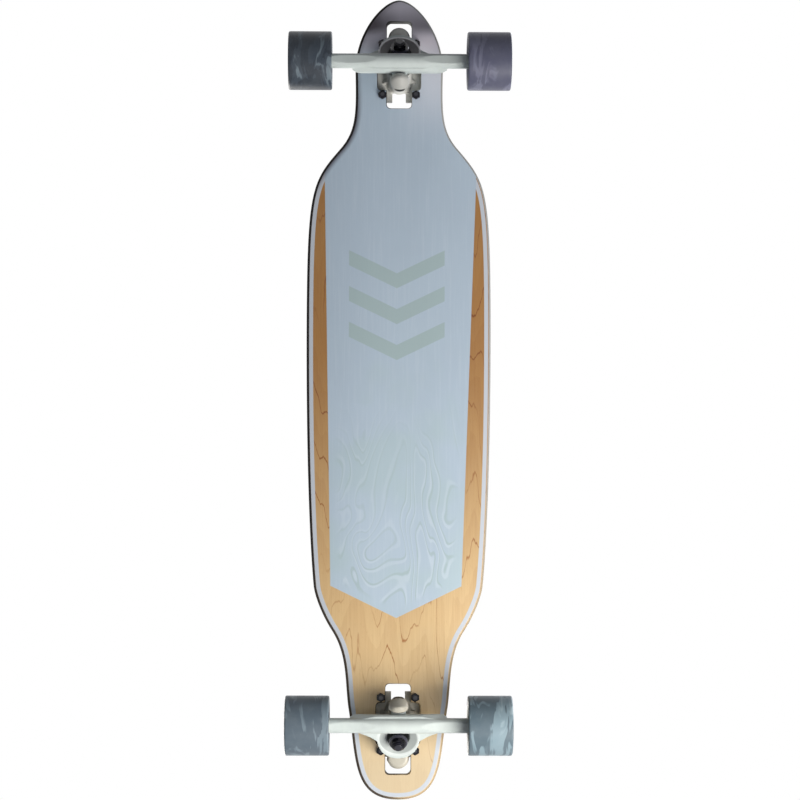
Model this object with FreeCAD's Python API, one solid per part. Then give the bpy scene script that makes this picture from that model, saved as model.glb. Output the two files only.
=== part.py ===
import FreeCAD, Part
import math
import os

os.makedirs("parts", exist_ok=True)

V = FreeCAD.Vector

# Millimetres. X runs along the board with the nose at +X, Y is across, Z is up, and the wheels stand on Z = 0.

# Deck outline, as half widths at places along the board; slopes are in mm of half width per mm towards the tail
NOSE_X = 488.0
NOSE_FULLNESS = 20.2
NOSE_ROOT_X = 399.3
NOSE_ROOT_HALF = 53.8
NOSE_ROOT_SLOPE = -0.022
NOSE_ROOT_PULL = 47.9
NECK_PULL = 51.3
FRONT_SHOULDER_X = 302.9
FRONT_SHOULDER_HALF = 71.7
FRONT_SHOULDER_SLOPE = 0.863
FRONT_SHOULDER_PULL_OUT = 29.7
FRONT_SHOULDER_PULL_IN = 53.8
WIDEST_X = 89.0
WIDEST_HALF = 112.6
WIDEST_PULL_FRONT = 167.4
WIDEST_PULL_REAR = 124.2
REAR_SHOULDER_TOP_X = -231.7
REAR_SHOULDER_TOP_HALF = 102.5
REAR_SHOULDER_TOP_SLOPE = -0.096
REAR_SHOULDER_TOP_PULL_FRONT = 70.2
REAR_SHOULDER_TOP_PULL_REAR = 13.0
REAR_SHOULDER_X = -286.0
REAR_SHOULDER_HALF = 80.1
REAR_SHOULDER_SLOPE = -0.654
REAR_SHOULDER_PULL_FRONT = 21.2
REAR_SHOULDER_PULL_REAR = 36.4
TAIL_ROOT_X = -380.9
TAIL_ROOT_HALF = 59.4
TAIL_ROOT_SLOPE = -0.161
TAIL_ROOT_PULL_FRONT = 31.2
TAIL_ROOT_PULL_REAR = 59.6
TAIL_X = -488.0
TAIL_FULLNESS = 54.8

# Deck section: a flat middle that carries the trucks, with both rails rising on arcs
DECK_T = 10.5
FLAT_HALF = 30.0
CONCAVE_R = 560.0
RAIL_ROUND = 3.0
GRIP_T = 1.0
GRIP_INSET = 1.6
GLUE_GAP = 0.05

# Drop-through cut-outs, measured outwards from the middle of each truck's bolt pattern
SLOT_HALF = 15.3
SLOT_IN = 48.0
SLOT_OUT = 60.0
WINDOW_HALF = 26.5
WINDOW_IN = 25.5
WINDOW_OUT = 24.5
CUT_ROUND = 6.0

# Where the trucks sit, measured in from each end of the board
FRONT_TRUCK_IN = 87.4
REAR_TRUCK_IN = 90.1

# Wheels and bearings
WHEEL_R = 35.0
WHEEL_W = 52.0
LIP_ROUND = 2.2
LIP_LAND = 2.4
FACE_R = 27.0
FACE_DIP = 1.8
CORE_R = 17.0
BOND_GAP = 0.02
BEARING_R = 11.0
BEARING_BORE_R = 4.0
BEARING_W = 7.0
RACE_IN_R = 6.1
RACE_OUT_R = 9.4
SHIELD_INSET = 0.45
RUN_CLEAR = 0.10
SEAT_CLEAR = 0.02
CORE_LEDGE_R = 9.0
SPACER_L = 10.0
SPACER_R = 5.3
CORE_RIB_IN_R = 12.7
CORE_RIB_OUT_R = 15.3
CORE_RIB_W = 3.6
CORE_RIB_COUNT = 6
CORE_POCKET = 7.5
WHEEL_OFFSET = 9.5

# Axle
AXLE_CLEAR = 0.03
SPEED_WASHER_T = 1.0
SPEED_WASHER_R = 5.7
AXLE_NUT_AF = 13.0
AXLE_NUT_H = 7.0
AXLE_STICKOUT = 1.5
HANGER_W = 180.0

# Steering geometry: the steering axis leans from the pivot up to the kingpin, square to the kingpin
AXIS_DEG = 35.0
AXLE_OUT = -2.6
AXLE_BACK = 29.0
AXLE_DROP = 18.0
DECK_OVER_AXLE = 57.0

# Hanger casting
BAR_END_R = 8.9
BAR_MID_R = 9.3
BAR_MID_HALF = 26.0
BAR_TAPER_HALF = 50.0
BAR_CHAMFER = 1.2
SCALLOP_Y = 58.0
SCALLOP_R = 230.0
SCALLOP_DEPTH = 1.7
SCALLOP_TURN = 7.0
YOKE_SIDE_R = 25.0
YOKE_END = 30.0
YOKE_HALF_T = 8.0
YOKE_SHOULDER_HALF = 57.0
YOKE_BEAM_HALF = 38.0
YOKE_WAIST_HALF = 33.0
YOKE_HIP_X = 4.0
YOKE_ARM_BACK = 8.0
YOKE_ARM_HALF = 45.0
YOKE_ELBOW_BACK = 22.0
YOKE_SHOULDER_BACK = 36.0
BELLY_HALF = 28.0
BELLY_GAP = 1.0
BELLY_NECK_GAP = 2.4
BELLY_T = 7.5
BEAM_BACK = 34.5
BEAM_TOP = 3.0
BEAM_UNDER = 8.2
CUP_WALL_R = 13.6
CUP_WEB_HALF = 2.5
KINGPIN_HOLE_R = 8.0
DISH_R = 23.4
DISH_DEPTH = 4.0
DISH_BACK = 17.0
YOKE_ROUND = 2.0
NECK_R = 9.0
NECK_START = 14.0
NOSE_R = 6.8
NOSE_TIP_R = 5.0
NOSE_L = 6.0
NOSE_END_ROUND = 1.5
NOSE_TAPER = 2.8

# Pivot cup and its mouth, measured along the steering axis back from the kingpin
CUP_MOUTH = 41.0
CUP_LIP_T = 1.5
CUP_LIP_R = 10.4
CUP_R = 8.8
CUP_FLOOR_T = 0.8
NOSE_CLEAR = 0.3

# Bushings, washers and kingpin
BUSH_R = 13.2
BUSH_BORE_R = 5.2
BUSH_GAP = 0.05
ROAD_BUSH_H = 11.0
ROAD_BUSH_TOP_R = 9.8
BOARD_BUSH_H = 17.0
BUSH_ROUND = 1.2
WASHER_R = 10.4
WASHER_T = 2.0
WASHER_RIM_H = 1.2
WASHER_RIM_T = 1.4
SEAT_WASHER_R = 13.0
SEAT_WASHER_T = 2.0
KINGPIN_R = 4.75
KINGPIN_CLEAR = 0.05
KINGPIN_NUT_AF = 14.3
KINGPIN_NUT_H = 7.8
KINGPIN_STICKOUT = 1.6
KINGPIN_HEAD_AF = 14.3
KINGPIN_HEAD_H = 6.5
NUT_COLLAR_H = 2.0
NUT_COLLAR_WALL = 1.7

# Baseplate casting
PLATE_T = 6.0
PLATE_IN = 38.5
PLATE_OUT = 40.0
PLATE_HALF = 28.5
PLATE_ROUND = 8.0
NOTCH_HALF = 8.25
NOTCH_END = 26.5
SPINE_HALF = 13.5
SPINE_OUT = 54.0
SPINE_UNDER = 8.5
SPINE_ROUND = 5.0
SEAT_BOSS_R = 15.5
SEAT_BOSS_T = 12.5
HEAD_CLEAR = 0.9
POCKET_IN = 22.0
POCKET_OUT = 1.0
POCKET_DEPTH = 13.0
POCKET_ROUND = 6.0
TOWER_R = 12.0
TOWER_TOP_OUT = -15.6
TOWER_FOOT_OUT = -23.6
TOWER_FOOT_Z = 42.0
TOWER_NECK_CLEAR = 2.5
TOWER_YOKE_CLEAR = 9.0
CUP_BOSS_R = 11.7
CUP_BOSS_WALL = 2.2
CUP_BOSS_ROUND = 1.8
FIN_OUT = -13.6
FIN_T = 4.0
FIN_REACH = 9.0
FIN_DROP = 16.0

# Truck bolts
BOLT_LONG = 63.5
BOLT_CROSS = 41.3
BOLT_R = 2.5
BOLT_CLEAR = 0.25
BOLT_HEAD_R = 4.6
BOLT_HEAD_H = 2.8
BOLT_SOCKET_R = 1.7
BOLT_SOCKET_DEPTH = 1.6
BOLT_STICKOUT = 1.2
MOUNT_NUT_AF = 9.5
MOUNT_NUT_H = 5.5
MOUNT_NUT_COLLAR_H = 1.5
MOUNT_NUT_COLLAR_WALL = 0.9
NUT_CLEAR = 0.05

# Levels and places that follow from the sizes above
FRONT_TRUCK_X = NOSE_X - FRONT_TRUCK_IN
REAR_TRUCK_X = TAIL_X + REAR_TRUCK_IN
AXLE_Z = WHEEL_R
DECK_Z = AXLE_Z + DECK_OVER_AXLE
DECK_TOP = DECK_Z + DECK_T
PLATE_TOP = DECK_TOP + PLATE_T
AXIS_COS = math.cos(math.radians(AXIS_DEG))
AXIS_SIN = math.sin(math.radians(AXIS_DEG))
KING_OUT = AXLE_OUT + AXLE_BACK * AXIS_COS - AXLE_DROP * AXIS_SIN
KING_Z = AXLE_Z + AXLE_BACK * AXIS_SIN + AXLE_DROP * AXIS_COS
ROAD_SEAT = -(CUP_WEB_HALF + BUSH_GAP)
BOARD_SEAT = CUP_WEB_HALF + BUSH_GAP
ROAD_WASHER_TOP = ROAD_SEAT - ROAD_BUSH_H
NUT_SEAT = ROAD_WASHER_TOP - WASHER_T
BOARD_WASHER = BOARD_SEAT + BOARD_BUSH_H
BOSS_SEAT = BOARD_WASHER + SEAT_WASHER_T
HEAD_SEAT = BOSS_SEAT + SEAT_BOSS_T
NOSE_TIP = CUP_MOUTH + NOSE_L
CUP_FLOOR = NOSE_TIP + NOSE_CLEAR
CUP_END = CUP_FLOOR + CUP_FLOOR_T
BIG = 400.0


def cylinder(radius, start, end):
    """Return a cylinder between two points."""
    along = end.sub(start)
    return Part.makeCylinder(radius, along.Length, start, along)


def prism(points, direction):
    """Return the solid swept by a closed flat polygon."""
    wire = Part.makePolygon(points + [points[0]])
    return Part.Face(wire).extrude(direction)


def box(x0, x1, y0, y1, z0, z1):
    """Return a box between two corners."""
    return Part.makeBox(x1 - x0, y1 - y0, z1 - z0, V(x0, y0, z0))


def round_upright(solid, radius):
    """Round every edge of a box that runs along Z."""
    upright = [e for e in solid.Edges if abs(e.tangentAt(e.FirstParameter).z) > 0.99]
    return solid.makeFillet(radius, upright)


def turned(profile, origin, axis):
    """Return the solid of revolution of a closed half section."""
    wire = Part.Wire(Part.sortEdges(profile)[0])
    return Part.Face(wire).revolve(origin, axis, 360)


def turned_y(points):
    """Turn (radius, y) corners about the Y axis."""
    corners = [V(r, y, 0) for r, y in points]
    edges = [Part.makeLine(a, b) for a, b in zip(corners, corners[1:] + corners[:1])]
    return turned(edges, V(0, 0, 0), V(0, 1, 0))


def turned_z(points):
    """Turn (radius, z) corners about the Z axis."""
    corners = [V(r, 0, z) for r, z in points]
    edges = [Part.makeLine(a, b) for a, b in zip(corners, corners[1:] + corners[:1])]
    return turned(edges, V(0, 0, 0), V(0, 0, 1))


def turned_x(points):
    """Turn (x, radius) corners about the X axis."""
    corners = [V(x, 0, r) for x, r in points]
    edges = [Part.makeLine(a, b) for a, b in zip(corners, corners[1:] + corners[:1])]
    return turned(edges, V(0, 0, 0), V(1, 0, 0))


def hexagon(across_flats, z0, z1):
    """Return a hexagonal bar along Z."""
    reach = across_flats / math.sqrt(3)
    corners = []
    for i in range(6):
        a = math.radians(60 * i)
        corners.append(V(reach * math.cos(a), reach * math.sin(a), z0))
    return prism(corners, V(0, 0, z1 - z0))


def lock_nut(across_flats, height, bore_r, collar_h, collar_wall):
    """Return a lock nut seated on Z = 0, with its collar at the top."""
    corner = across_flats / math.sqrt(3)
    flat = across_flats / 2
    hex_h = height - collar_h
    ease = corner - flat
    body = hexagon(across_flats, 0, hex_h)
    dome = turned_z([(0, 0), (flat, 0), (corner, ease), (corner, hex_h - ease), (flat, hex_h), (0, hex_h)])
    collar_r = flat - collar_wall / 2
    collar = turned_z([(0, hex_h), (collar_r, hex_h), (collar_r, height - collar_wall / 2),
                       (collar_r - collar_wall / 2, height), (0, height)])
    nut = body.common(dome).fuse(collar)
    return nut.cut(cylinder(bore_r, V(0, 0, -1), V(0, 0, height + 1))).removeSplitter()


def joined(first, *others):
    """Fuse solids into one and clean its faces."""
    result = first
    for other in others:
        result = result.fuse(other)
    return result.removeSplitter()


def outline_knots():
    """Return the deck's half outline as (x, half width, direction, pull in, pull out)."""
    return [
        (NOSE_X, 0.0, (0, 1), 0.0, NOSE_FULLNESS),
        (NOSE_ROOT_X, NOSE_ROOT_HALF, (-1, NOSE_ROOT_SLOPE), NOSE_ROOT_PULL, NECK_PULL),
        (FRONT_SHOULDER_X, FRONT_SHOULDER_HALF, (-1, FRONT_SHOULDER_SLOPE),
         FRONT_SHOULDER_PULL_OUT, FRONT_SHOULDER_PULL_IN),
        (WIDEST_X, WIDEST_HALF, (-1, 0), WIDEST_PULL_FRONT, WIDEST_PULL_REAR),
        (REAR_SHOULDER_TOP_X, REAR_SHOULDER_TOP_HALF, (-1, REAR_SHOULDER_TOP_SLOPE),
         REAR_SHOULDER_TOP_PULL_FRONT, REAR_SHOULDER_TOP_PULL_REAR),
        (REAR_SHOULDER_X, REAR_SHOULDER_HALF, (-1, REAR_SHOULDER_SLOPE),
         REAR_SHOULDER_PULL_FRONT, REAR_SHOULDER_PULL_REAR),
        (TAIL_ROOT_X, TAIL_ROOT_HALF, (-1, TAIL_ROOT_SLOPE), TAIL_ROOT_PULL_FRONT, TAIL_ROOT_PULL_REAR),
        (TAIL_X, 0.0, (0, -1), TAIL_FULLNESS, 0.0),
    ]


def outline_prism(z0, z1, inset=0.0):
    """Return the deck's plan shape as an upright solid, drawn in all round by the inset."""
    knots = [(x if half else math.copysign(abs(x) - inset, x), half - inset if half else 0.0, way, near, far)
             for x, half, way, near, far in outline_knots()]
    edges = []
    for side in (1, -1):
        for (xa, wa, da, _, out), (xb, wb, db, pull, _) in zip(knots, knots[1:]):
            a = V(xa, side * wa, z0)
            b = V(xb, side * wb, z0)
            along_a = V(da[0], side * da[1], 0).normalize()
            along_b = V(db[0], side * db[1], 0).normalize()
            curve = Part.BezierCurve()
            curve.setPoles([a, a.add(along_a.multiply(out)), b.sub(along_b.multiply(pull)), b])
            edges.append(curve.toShape())
    wire = Part.Wire(Part.sortEdges(edges)[0])
    return Part.Face(wire).extrude(V(0, 0, z1 - z0))


def section_prism(under, thickness):
    """Return the deck's dished section run along the board, from its underside upwards."""
    reach = WIDEST_HALF + WINDOW_HALF
    x0 = TAIL_X - SLOT_OUT
    rise = reach - FLAT_HALF
    r_low = CONCAVE_R - (under - DECK_Z)
    r_high = r_low - thickness
    centre_z = DECK_Z + CONCAVE_R

    def point(side, radius, share):
        angle = math.asin(rise / CONCAVE_R) * share
        y = side * (FLAT_HALF + radius * math.sin(angle))
        return V(x0, y, centre_z - radius * math.cos(angle))

    edges = []
    ends = {}
    for radius in (r_low, r_high):
        for side in (1, -1):
            start, middle, end = (point(side, radius, share) for share in (0, 0.5, 1))
            edges.append(Part.Arc(start, middle, end).toShape())
            ends[radius, side] = (start, end)
        edges.append(Part.makeLine(ends[radius, 1][0], ends[radius, -1][0]))
    for side in (1, -1):
        edges.append(Part.makeLine(ends[r_low, side][1], ends[r_high, side][1]))
    wire = Part.Wire(Part.sortEdges(edges)[0])
    return Part.Face(wire).extrude(V(NOSE_X - TAIL_X + 2 * SLOT_OUT, 0, 0))


def placed(shape, front):
    """Move a truck's piece to its end of the board; the rear truck faces the other way."""
    copy = shape.copy()
    if not front:
        copy.rotate(V(0, 0, 0), V(0, 0, 1), 180)
    copy.translate(V(FRONT_TRUCK_X if front else REAR_TRUCK_X, 0, 0))
    return copy


def from_axis(shape):
    """Move a piece drawn on the steering axis (X along the axis, Z along the kingpin) into the truck."""
    copy = shape.copy()
    copy.rotate(V(0, 0, 0), V(0, 1, 0), -AXIS_DEG)
    copy.translate(V(KING_OUT, 0, KING_Z))
    return copy


def bolt_places():
    """Return the four bolt centres of one truck."""
    return [(i * BOLT_LONG / 2, j * BOLT_CROSS / 2) for i in (1, -1) for j in (1, -1)]


def cutout():
    """Return the solid removed from the deck for one truck: a long slot crossed by a wide window."""
    low = DECK_Z - DECK_T
    high = DECK_TOP + DECK_T
    slot = round_upright(box(-SLOT_IN, SLOT_OUT, -SLOT_HALF, SLOT_HALF, low, high), CUT_ROUND)
    window = round_upright(box(-WINDOW_IN, WINDOW_OUT, -WINDOW_HALF, WINDOW_HALF, low, high), CUT_ROUND)
    cut = slot.fuse(window)
    for u, v in bolt_places():
        cut = cut.fuse(cylinder(BOLT_R + BOLT_CLEAR, V(u, v, low), V(u, v, high)))
    return cut


def make_deck():
    """Return the laminated deck with its two cut-outs."""
    deck = section_prism(DECK_Z, DECK_T).common(outline_prism(DECK_Z - DECK_T, DECK_Z + BIG))
    rails = []
    for edge in deck.Edges:
        at = edge.valueAt((edge.FirstParameter + edge.LastParameter) / 2)
        along = edge.tangentAt((edge.FirstParameter + edge.LastParameter) / 2)
        inside_only = abs(abs(at.y) - FLAT_HALF) < 0.01 and abs(along.x) > 0.999
        if abs(along.z) < 0.9 and not inside_only:
            rails.append(edge)
    deck = deck.makeFillet(RAIL_ROUND, rails)
    return deck.cut(placed(cutout(), True)).cut(placed(cutout(), False)).removeSplitter()


def make_grip():
    """Return the grip sheet, cut away round both baseplates."""
    low = DECK_TOP + GLUE_GAP
    grip = section_prism(low, GRIP_T).common(outline_prism(DECK_Z - DECK_T, DECK_Z + BIG, GRIP_INSET))
    window = box(-PLATE_IN - GRIP_T, PLATE_OUT + GRIP_T, -PLATE_HALF - GRIP_T, PLATE_HALF + GRIP_T,
                 DECK_Z, PLATE_TOP + BIG)
    window = round_upright(window, PLATE_ROUND + GRIP_T)
    slot = round_upright(box(-SLOT_IN, SLOT_OUT, -SLOT_HALF, SLOT_HALF, DECK_Z, PLATE_TOP + BIG), CUT_ROUND)
    cut = window.fuse(slot)
    return grip.cut(placed(cut, True)).cut(placed(cut, False)).removeSplitter()


def make_hanger():
    """Return the hanger casting on the steering axis: axle bar, yoke ring, bushing cups and pivot nose."""
    half = HANGER_W / 2
    bar = turned_y([
        (0, -half), (BAR_END_R - BAR_CHAMFER, -half), (BAR_END_R, BAR_CHAMFER - half),
        (BAR_END_R, -BAR_TAPER_HALF), (BAR_MID_R, -BAR_MID_HALF), (BAR_MID_R, BAR_MID_HALF),
        (BAR_END_R, BAR_TAPER_HALF), (BAR_END_R, half - BAR_CHAMFER), (BAR_END_R - BAR_CHAMFER, half), (0, half),
    ])
    bar.translate(V(-AXLE_BACK, 0, -AXLE_DROP))
    scallops = []
    for side in (1, -1):
        at = V(-BAR_MID_R, side * SCALLOP_Y, SCALLOP_DEPTH - BAR_END_R - SCALLOP_R)
        scallop = Part.makeCylinder(SCALLOP_R, 2 * BAR_MID_R, at, V(1, 0, 0))
        scallop.rotate(V(0, 0, 0), V(0, 1, 0), AXIS_DEG - SCALLOP_TURN)
        scallops.append(scallop.translated(V(-AXLE_BACK, 0, -AXLE_DROP)))

    # plan of the yoke: a ring end that flares back into the bar, and a belly towards the pivot
    back = BELLY_GAP - CUP_MOUTH
    ring_end = V(YOKE_END, 0, -BIG)
    side_x = YOKE_END - YOKE_SIDE_R + YOKE_HALF_T
    side_y = math.sqrt(YOKE_SIDE_R ** 2 - YOKE_HALF_T ** 2) - YOKE_ROUND / 2
    edges = [Part.Arc(V(side_x, side_y, -BIG), ring_end, V(side_x, -side_y, -BIG)).toShape()]
    for side in (1, -1):
        hip = V(YOKE_HIP_X, side * YOKE_SIDE_R, -BIG)
        waist = V((YOKE_HIP_X - YOKE_ARM_BACK) / 2, side * YOKE_WAIST_HALF, -BIG)
        corner = V(-YOKE_ARM_BACK, side * YOKE_ARM_HALF, -BIG)
        elbow = V(-YOKE_ELBOW_BACK, side * YOKE_SHOULDER_HALF, -BIG)
        shoulder = V(-YOKE_SHOULDER_BACK, side * YOKE_SHOULDER_HALF, -BIG)
        bulge = V((side_x + YOKE_HIP_X) / 2, side * (YOKE_SIDE_R - YOKE_ROUND / 4), -BIG)
        edges.append(Part.Arc(V(side_x, side * side_y, -BIG), bulge, hip).toShape())
        edges.append(Part.Arc(hip, waist, corner).toShape())
        edges.append(Part.makeLine(corner, elbow))
        edges.append(Part.makeLine(elbow, shoulder))
        edges.append(Part.makeLine(shoulder, V(back, side * BELLY_HALF, -BIG)))
    edges.append(Part.makeLine(V(back, BELLY_HALF, -BIG), V(back, -BELLY_HALF, -BIG)))
    plan = Part.Face(Part.Wire(Part.sortEdges(edges)[0])).extrude(V(0, 0, 2 * BIG))

    # side of the yoke: the beam over the bar, sloping up into the ring, with the belly under the neck
    under = -AXLE_DROP - BEAM_UNDER
    tip = -NECK_R - BELLY_NECK_GAP
    side_view = prism([V(x, -BIG, z) for x, z in [
        (back, tip), (back, tip - BELLY_T / 2), (back + BELLY_T / 2, tip - BELLY_T),
        (-AXLE_BACK - BEAM_UNDER / 2, under), (-AXLE_BACK + BEAM_UNDER / 2, under),
        (-NECK_START, -YOKE_HALF_T - YOKE_ROUND), (-YOKE_HALF_T, -YOKE_HALF_T), (BIG, -YOKE_HALF_T),
        (BIG, YOKE_HALF_T), (-NECK_START, YOKE_HALF_T), (-AXLE_BACK + BEAM_TOP, BEAM_TOP),
        (-BEAM_BACK, -BEAM_TOP)]],
        V(0, 2 * BIG, 0))

    # end view of the yoke: full height at the ring, falling to the bar at both shoulders
    bar_top = BAR_END_R - AXLE_DROP
    end_view = prism([V(-BIG, y, z) for y, z in [
        (-YOKE_SIDE_R, BIG), (YOKE_SIDE_R, BIG), (YOKE_SIDE_R, YOKE_HALF_T), (YOKE_BEAM_HALF, BEAM_TOP),
        (YOKE_SHOULDER_HALF, bar_top), (YOKE_SHOULDER_HALF, -BIG), (-YOKE_SHOULDER_HALF, -BIG),
        (-YOKE_SHOULDER_HALF, bar_top), (-YOKE_BEAM_HALF, BEAM_TOP), (-YOKE_SIDE_R, YOKE_HALF_T)]],
        V(2 * BIG, 0, 0))
    yoke = plan.common(side_view).common(end_view)

    nose_root = CUP_MOUTH - NOSE_TAPER
    neck = turned_x([
        (-NECK_START, 0), (-NECK_START, NECK_R), (-nose_root, NECK_R), (-CUP_MOUTH, NOSE_R),
        (-NOSE_TIP + NOSE_END_ROUND, NOSE_TIP_R), (-NOSE_TIP, NOSE_TIP_R - NOSE_END_ROUND), (-NOSE_TIP, 0)])

    hanger = joined(bar, yoke, neck).cut(scallops)
    cups = cylinder(CUP_WALL_R, V(0, 0, CUP_WEB_HALF), V(0, 0, BIG))
    cups = cups.fuse(cylinder(CUP_WALL_R, V(0, 0, -CUP_WEB_HALF), V(0, 0, -BIG)))
    hole = cylinder(KINGPIN_HOLE_R, V(0, 0, -BIG), V(0, 0, BIG))
    floor = DISH_DEPTH - YOKE_HALF_T
    dish = turned_z([(0, floor), (CUP_WALL_R, floor), (DISH_R, -YOKE_HALF_T), (DISH_R, -BIG), (0, -BIG)])
    dish = dish.common(box(-DISH_BACK, BIG, -BIG, BIG, -BIG, BIG))
    bore_r = BEARING_BORE_R + AXLE_CLEAR
    bore = cylinder(bore_r, V(-AXLE_BACK, -half - 1, -AXLE_DROP), V(-AXLE_BACK, half + 1, -AXLE_DROP))
    return hanger.cut(cups).cut(hole).cut(dish).cut(bore).removeSplitter()


def make_baseplate():
    """Return the baseplate in the truck's own frame."""
    plate = round_upright(box(-PLATE_IN, PLATE_OUT, -PLATE_HALF, PLATE_HALF, DECK_TOP, PLATE_TOP), PLATE_ROUND)
    plate = plate.cut(box(-PLATE_IN - PLATE_ROUND, -NOTCH_END, -NOTCH_HALF, NOTCH_HALF, DECK_Z, PLATE_TOP + 1))

    spine_low = DECK_TOP - SPINE_UNDER
    nose_at = SPINE_OUT - SPINE_HALF
    spine = box(-POCKET_IN, nose_at, -SPINE_HALF, SPINE_HALF, spine_low, PLATE_TOP)
    spine = spine.fuse(cylinder(SPINE_HALF, V(nose_at, 0, spine_low), V(nose_at, 0, PLATE_TOP))).removeSplitter()
    lower = [e for e in spine.Edges if e.BoundBox.ZMax < spine_low + 0.01 and e.BoundBox.XMax > -POCKET_IN + 0.01]
    spine = spine.makeFillet(SPINE_ROUND, lower)

    boss = from_axis(cylinder(SEAT_BOSS_R, V(0, 0, BOSS_SEAT), V(0, 0, BIG)))
    boss = boss.common(box(-BIG, BIG, -BIG, BIG, 0, PLATE_TOP))
    boss = boss.common(box(-NOTCH_END, BIG, -BIG, BIG, 0, BIG))

    foot = V(TOWER_FOOT_OUT, 0, TOWER_FOOT_Z)
    top = V(TOWER_TOP_OUT, 0, PLATE_TOP)
    past = top.sub(foot).multiply(0.1)
    tower = cylinder(TOWER_R, foot, top.add(past)).common(box(-BIG, BIG, -BIG, BIG, 0, PLATE_TOP))
    mouth = CUP_MOUTH + CUP_LIP_T
    tower = tower.cut(from_axis(box(-mouth, BIG, -BIG, BIG, -BIG, NECK_R + TOWER_NECK_CLEAR)))
    tower = tower.cut(from_axis(box(-YOKE_SIDE_R - TOWER_YOKE_CLEAR / 4, BIG, -BIG, BIG,
                                    -BIG, YOKE_HALF_T + TOWER_YOKE_CLEAR)))
    end = CUP_END + CUP_BOSS_WALL
    cup_boss = turned_x([(-mouth, 0), (-mouth, CUP_BOSS_R), (-end + CUP_BOSS_ROUND, CUP_BOSS_R),
                         (-end + CUP_BOSS_ROUND / 4, CUP_BOSS_R - CUP_BOSS_ROUND * 0.6),
                         (-end, CUP_BOSS_R - CUP_BOSS_ROUND), (-end, 0)])
    tower = tower.fuse(from_axis(cup_boss))

    fins = []
    for side in (1, -1):
        wall = side * (TOWER_R - FIN_T / 2)
        fin = prism([V(FIN_OUT - FIN_T / 2, wall, DECK_TOP), V(FIN_OUT - FIN_T / 2, wall, DECK_TOP - FIN_DROP),
                     V(FIN_OUT - FIN_T / 2, side * (TOWER_R + FIN_REACH), DECK_TOP)], V(FIN_T, 0, 0))
        fins.append(fin)

    body = joined(plate, spine, boss, tower, *fins)
    body = body.cut(from_axis(cylinder(SEAT_BOSS_R, V(0, 0, 0), V(0, 0, BOSS_SEAT))))
    for u, v in bolt_places():
        body = body.cut(cylinder(BOLT_R + BOLT_CLEAR, V(u, v, DECK_Z), V(u, v, PLATE_TOP + 1)))
    body = body.cut(from_axis(cylinder(KINGPIN_R + KINGPIN_CLEAR, V(0, 0, 0), V(0, 0, HEAD_SEAT + 1))))
    head_r = KINGPIN_HEAD_AF / math.sqrt(3) + HEAD_CLEAR
    head_top = HEAD_SEAT + KINGPIN_HEAD_H + HEAD_CLEAR
    body = body.cut(from_axis(cylinder(head_r, V(0, 0, HEAD_SEAT), V(0, 0, head_top))))
    pocket = box(-POCKET_IN, POCKET_OUT, -head_r, head_r, PLATE_TOP - POCKET_DEPTH, PLATE_TOP + BIG)
    body = body.cut(round_upright(pocket, POCKET_ROUND).cut(
        from_axis(cylinder(SEAT_BOSS_R * 2, V(0, 0, 0), V(0, 0, HEAD_SEAT)))))
    cup_bore = cylinder(CUP_R + KINGPIN_CLEAR, V(0, 0, 0), V(-CUP_END, 0, 0))
    return body.cut(from_axis(cup_bore)).removeSplitter()


def make_pivot_cup():
    """Return the pivot cup on the steering axis, with a cavity that clears the nose."""
    lip = CUP_MOUTH + CUP_LIP_T
    return turned_x([
        (-CUP_MOUTH, NOSE_R + NOSE_CLEAR), (-CUP_MOUTH, CUP_LIP_R), (-lip, CUP_LIP_R), (-lip, CUP_R),
        (-CUP_END, CUP_R), (-CUP_END, 0), (-CUP_FLOOR, 0), (-CUP_FLOOR, NOSE_TIP_R + NOSE_CLEAR)])


def make_road_bushing():
    """Return the cone bushing between the yoke and the kingpin nut."""
    return turned_z([
        (BUSH_BORE_R, ROAD_SEAT), (BUSH_R - BUSH_ROUND, ROAD_SEAT), (BUSH_R, ROAD_SEAT - BUSH_ROUND),
        (BUSH_R, -YOKE_HALF_T + BUSH_ROUND), (ROAD_BUSH_TOP_R, ROAD_WASHER_TOP + BUSH_ROUND),
        (ROAD_BUSH_TOP_R - BUSH_ROUND, ROAD_WASHER_TOP), (BUSH_BORE_R, ROAD_WASHER_TOP)])


def make_board_bushing():
    """Return the barrel bushing between the baseplate and the yoke."""
    return turned_z([
        (BUSH_BORE_R, BOARD_SEAT), (BUSH_R - BUSH_ROUND, BOARD_SEAT), (BUSH_R, BOARD_SEAT + BUSH_ROUND),
        (BUSH_R, BOARD_WASHER - BUSH_ROUND), (BUSH_R - BUSH_ROUND, BOARD_WASHER), (BUSH_BORE_R, BOARD_WASHER)])


def make_road_washer():
    """Return the cupped washer under the kingpin nut, its rim turned over the bushing."""
    bore = KINGPIN_R + KINGPIN_CLEAR
    rim_in = ROAD_BUSH_TOP_R + BOND_GAP
    rim_out = rim_in + WASHER_RIM_T
    return turned_z([
        (bore, ROAD_WASHER_TOP), (rim_in, ROAD_WASHER_TOP), (rim_in, ROAD_WASHER_TOP + WASHER_RIM_H),
        (rim_out, ROAD_WASHER_TOP + WASHER_RIM_H), (rim_out, ROAD_WASHER_TOP - WASHER_T / 4),
        (WASHER_R, NUT_SEAT), (bore, NUT_SEAT)])


def make_seat_washer():
    """Return the flat washer between the baseplate's seat and its bushing."""
    bore = KINGPIN_R + KINGPIN_CLEAR
    return turned_z([(bore, BOARD_WASHER), (SEAT_WASHER_R, BOARD_WASHER), (SEAT_WASHER_R, BOSS_SEAT),
                     (bore, BOSS_SEAT)])


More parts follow.
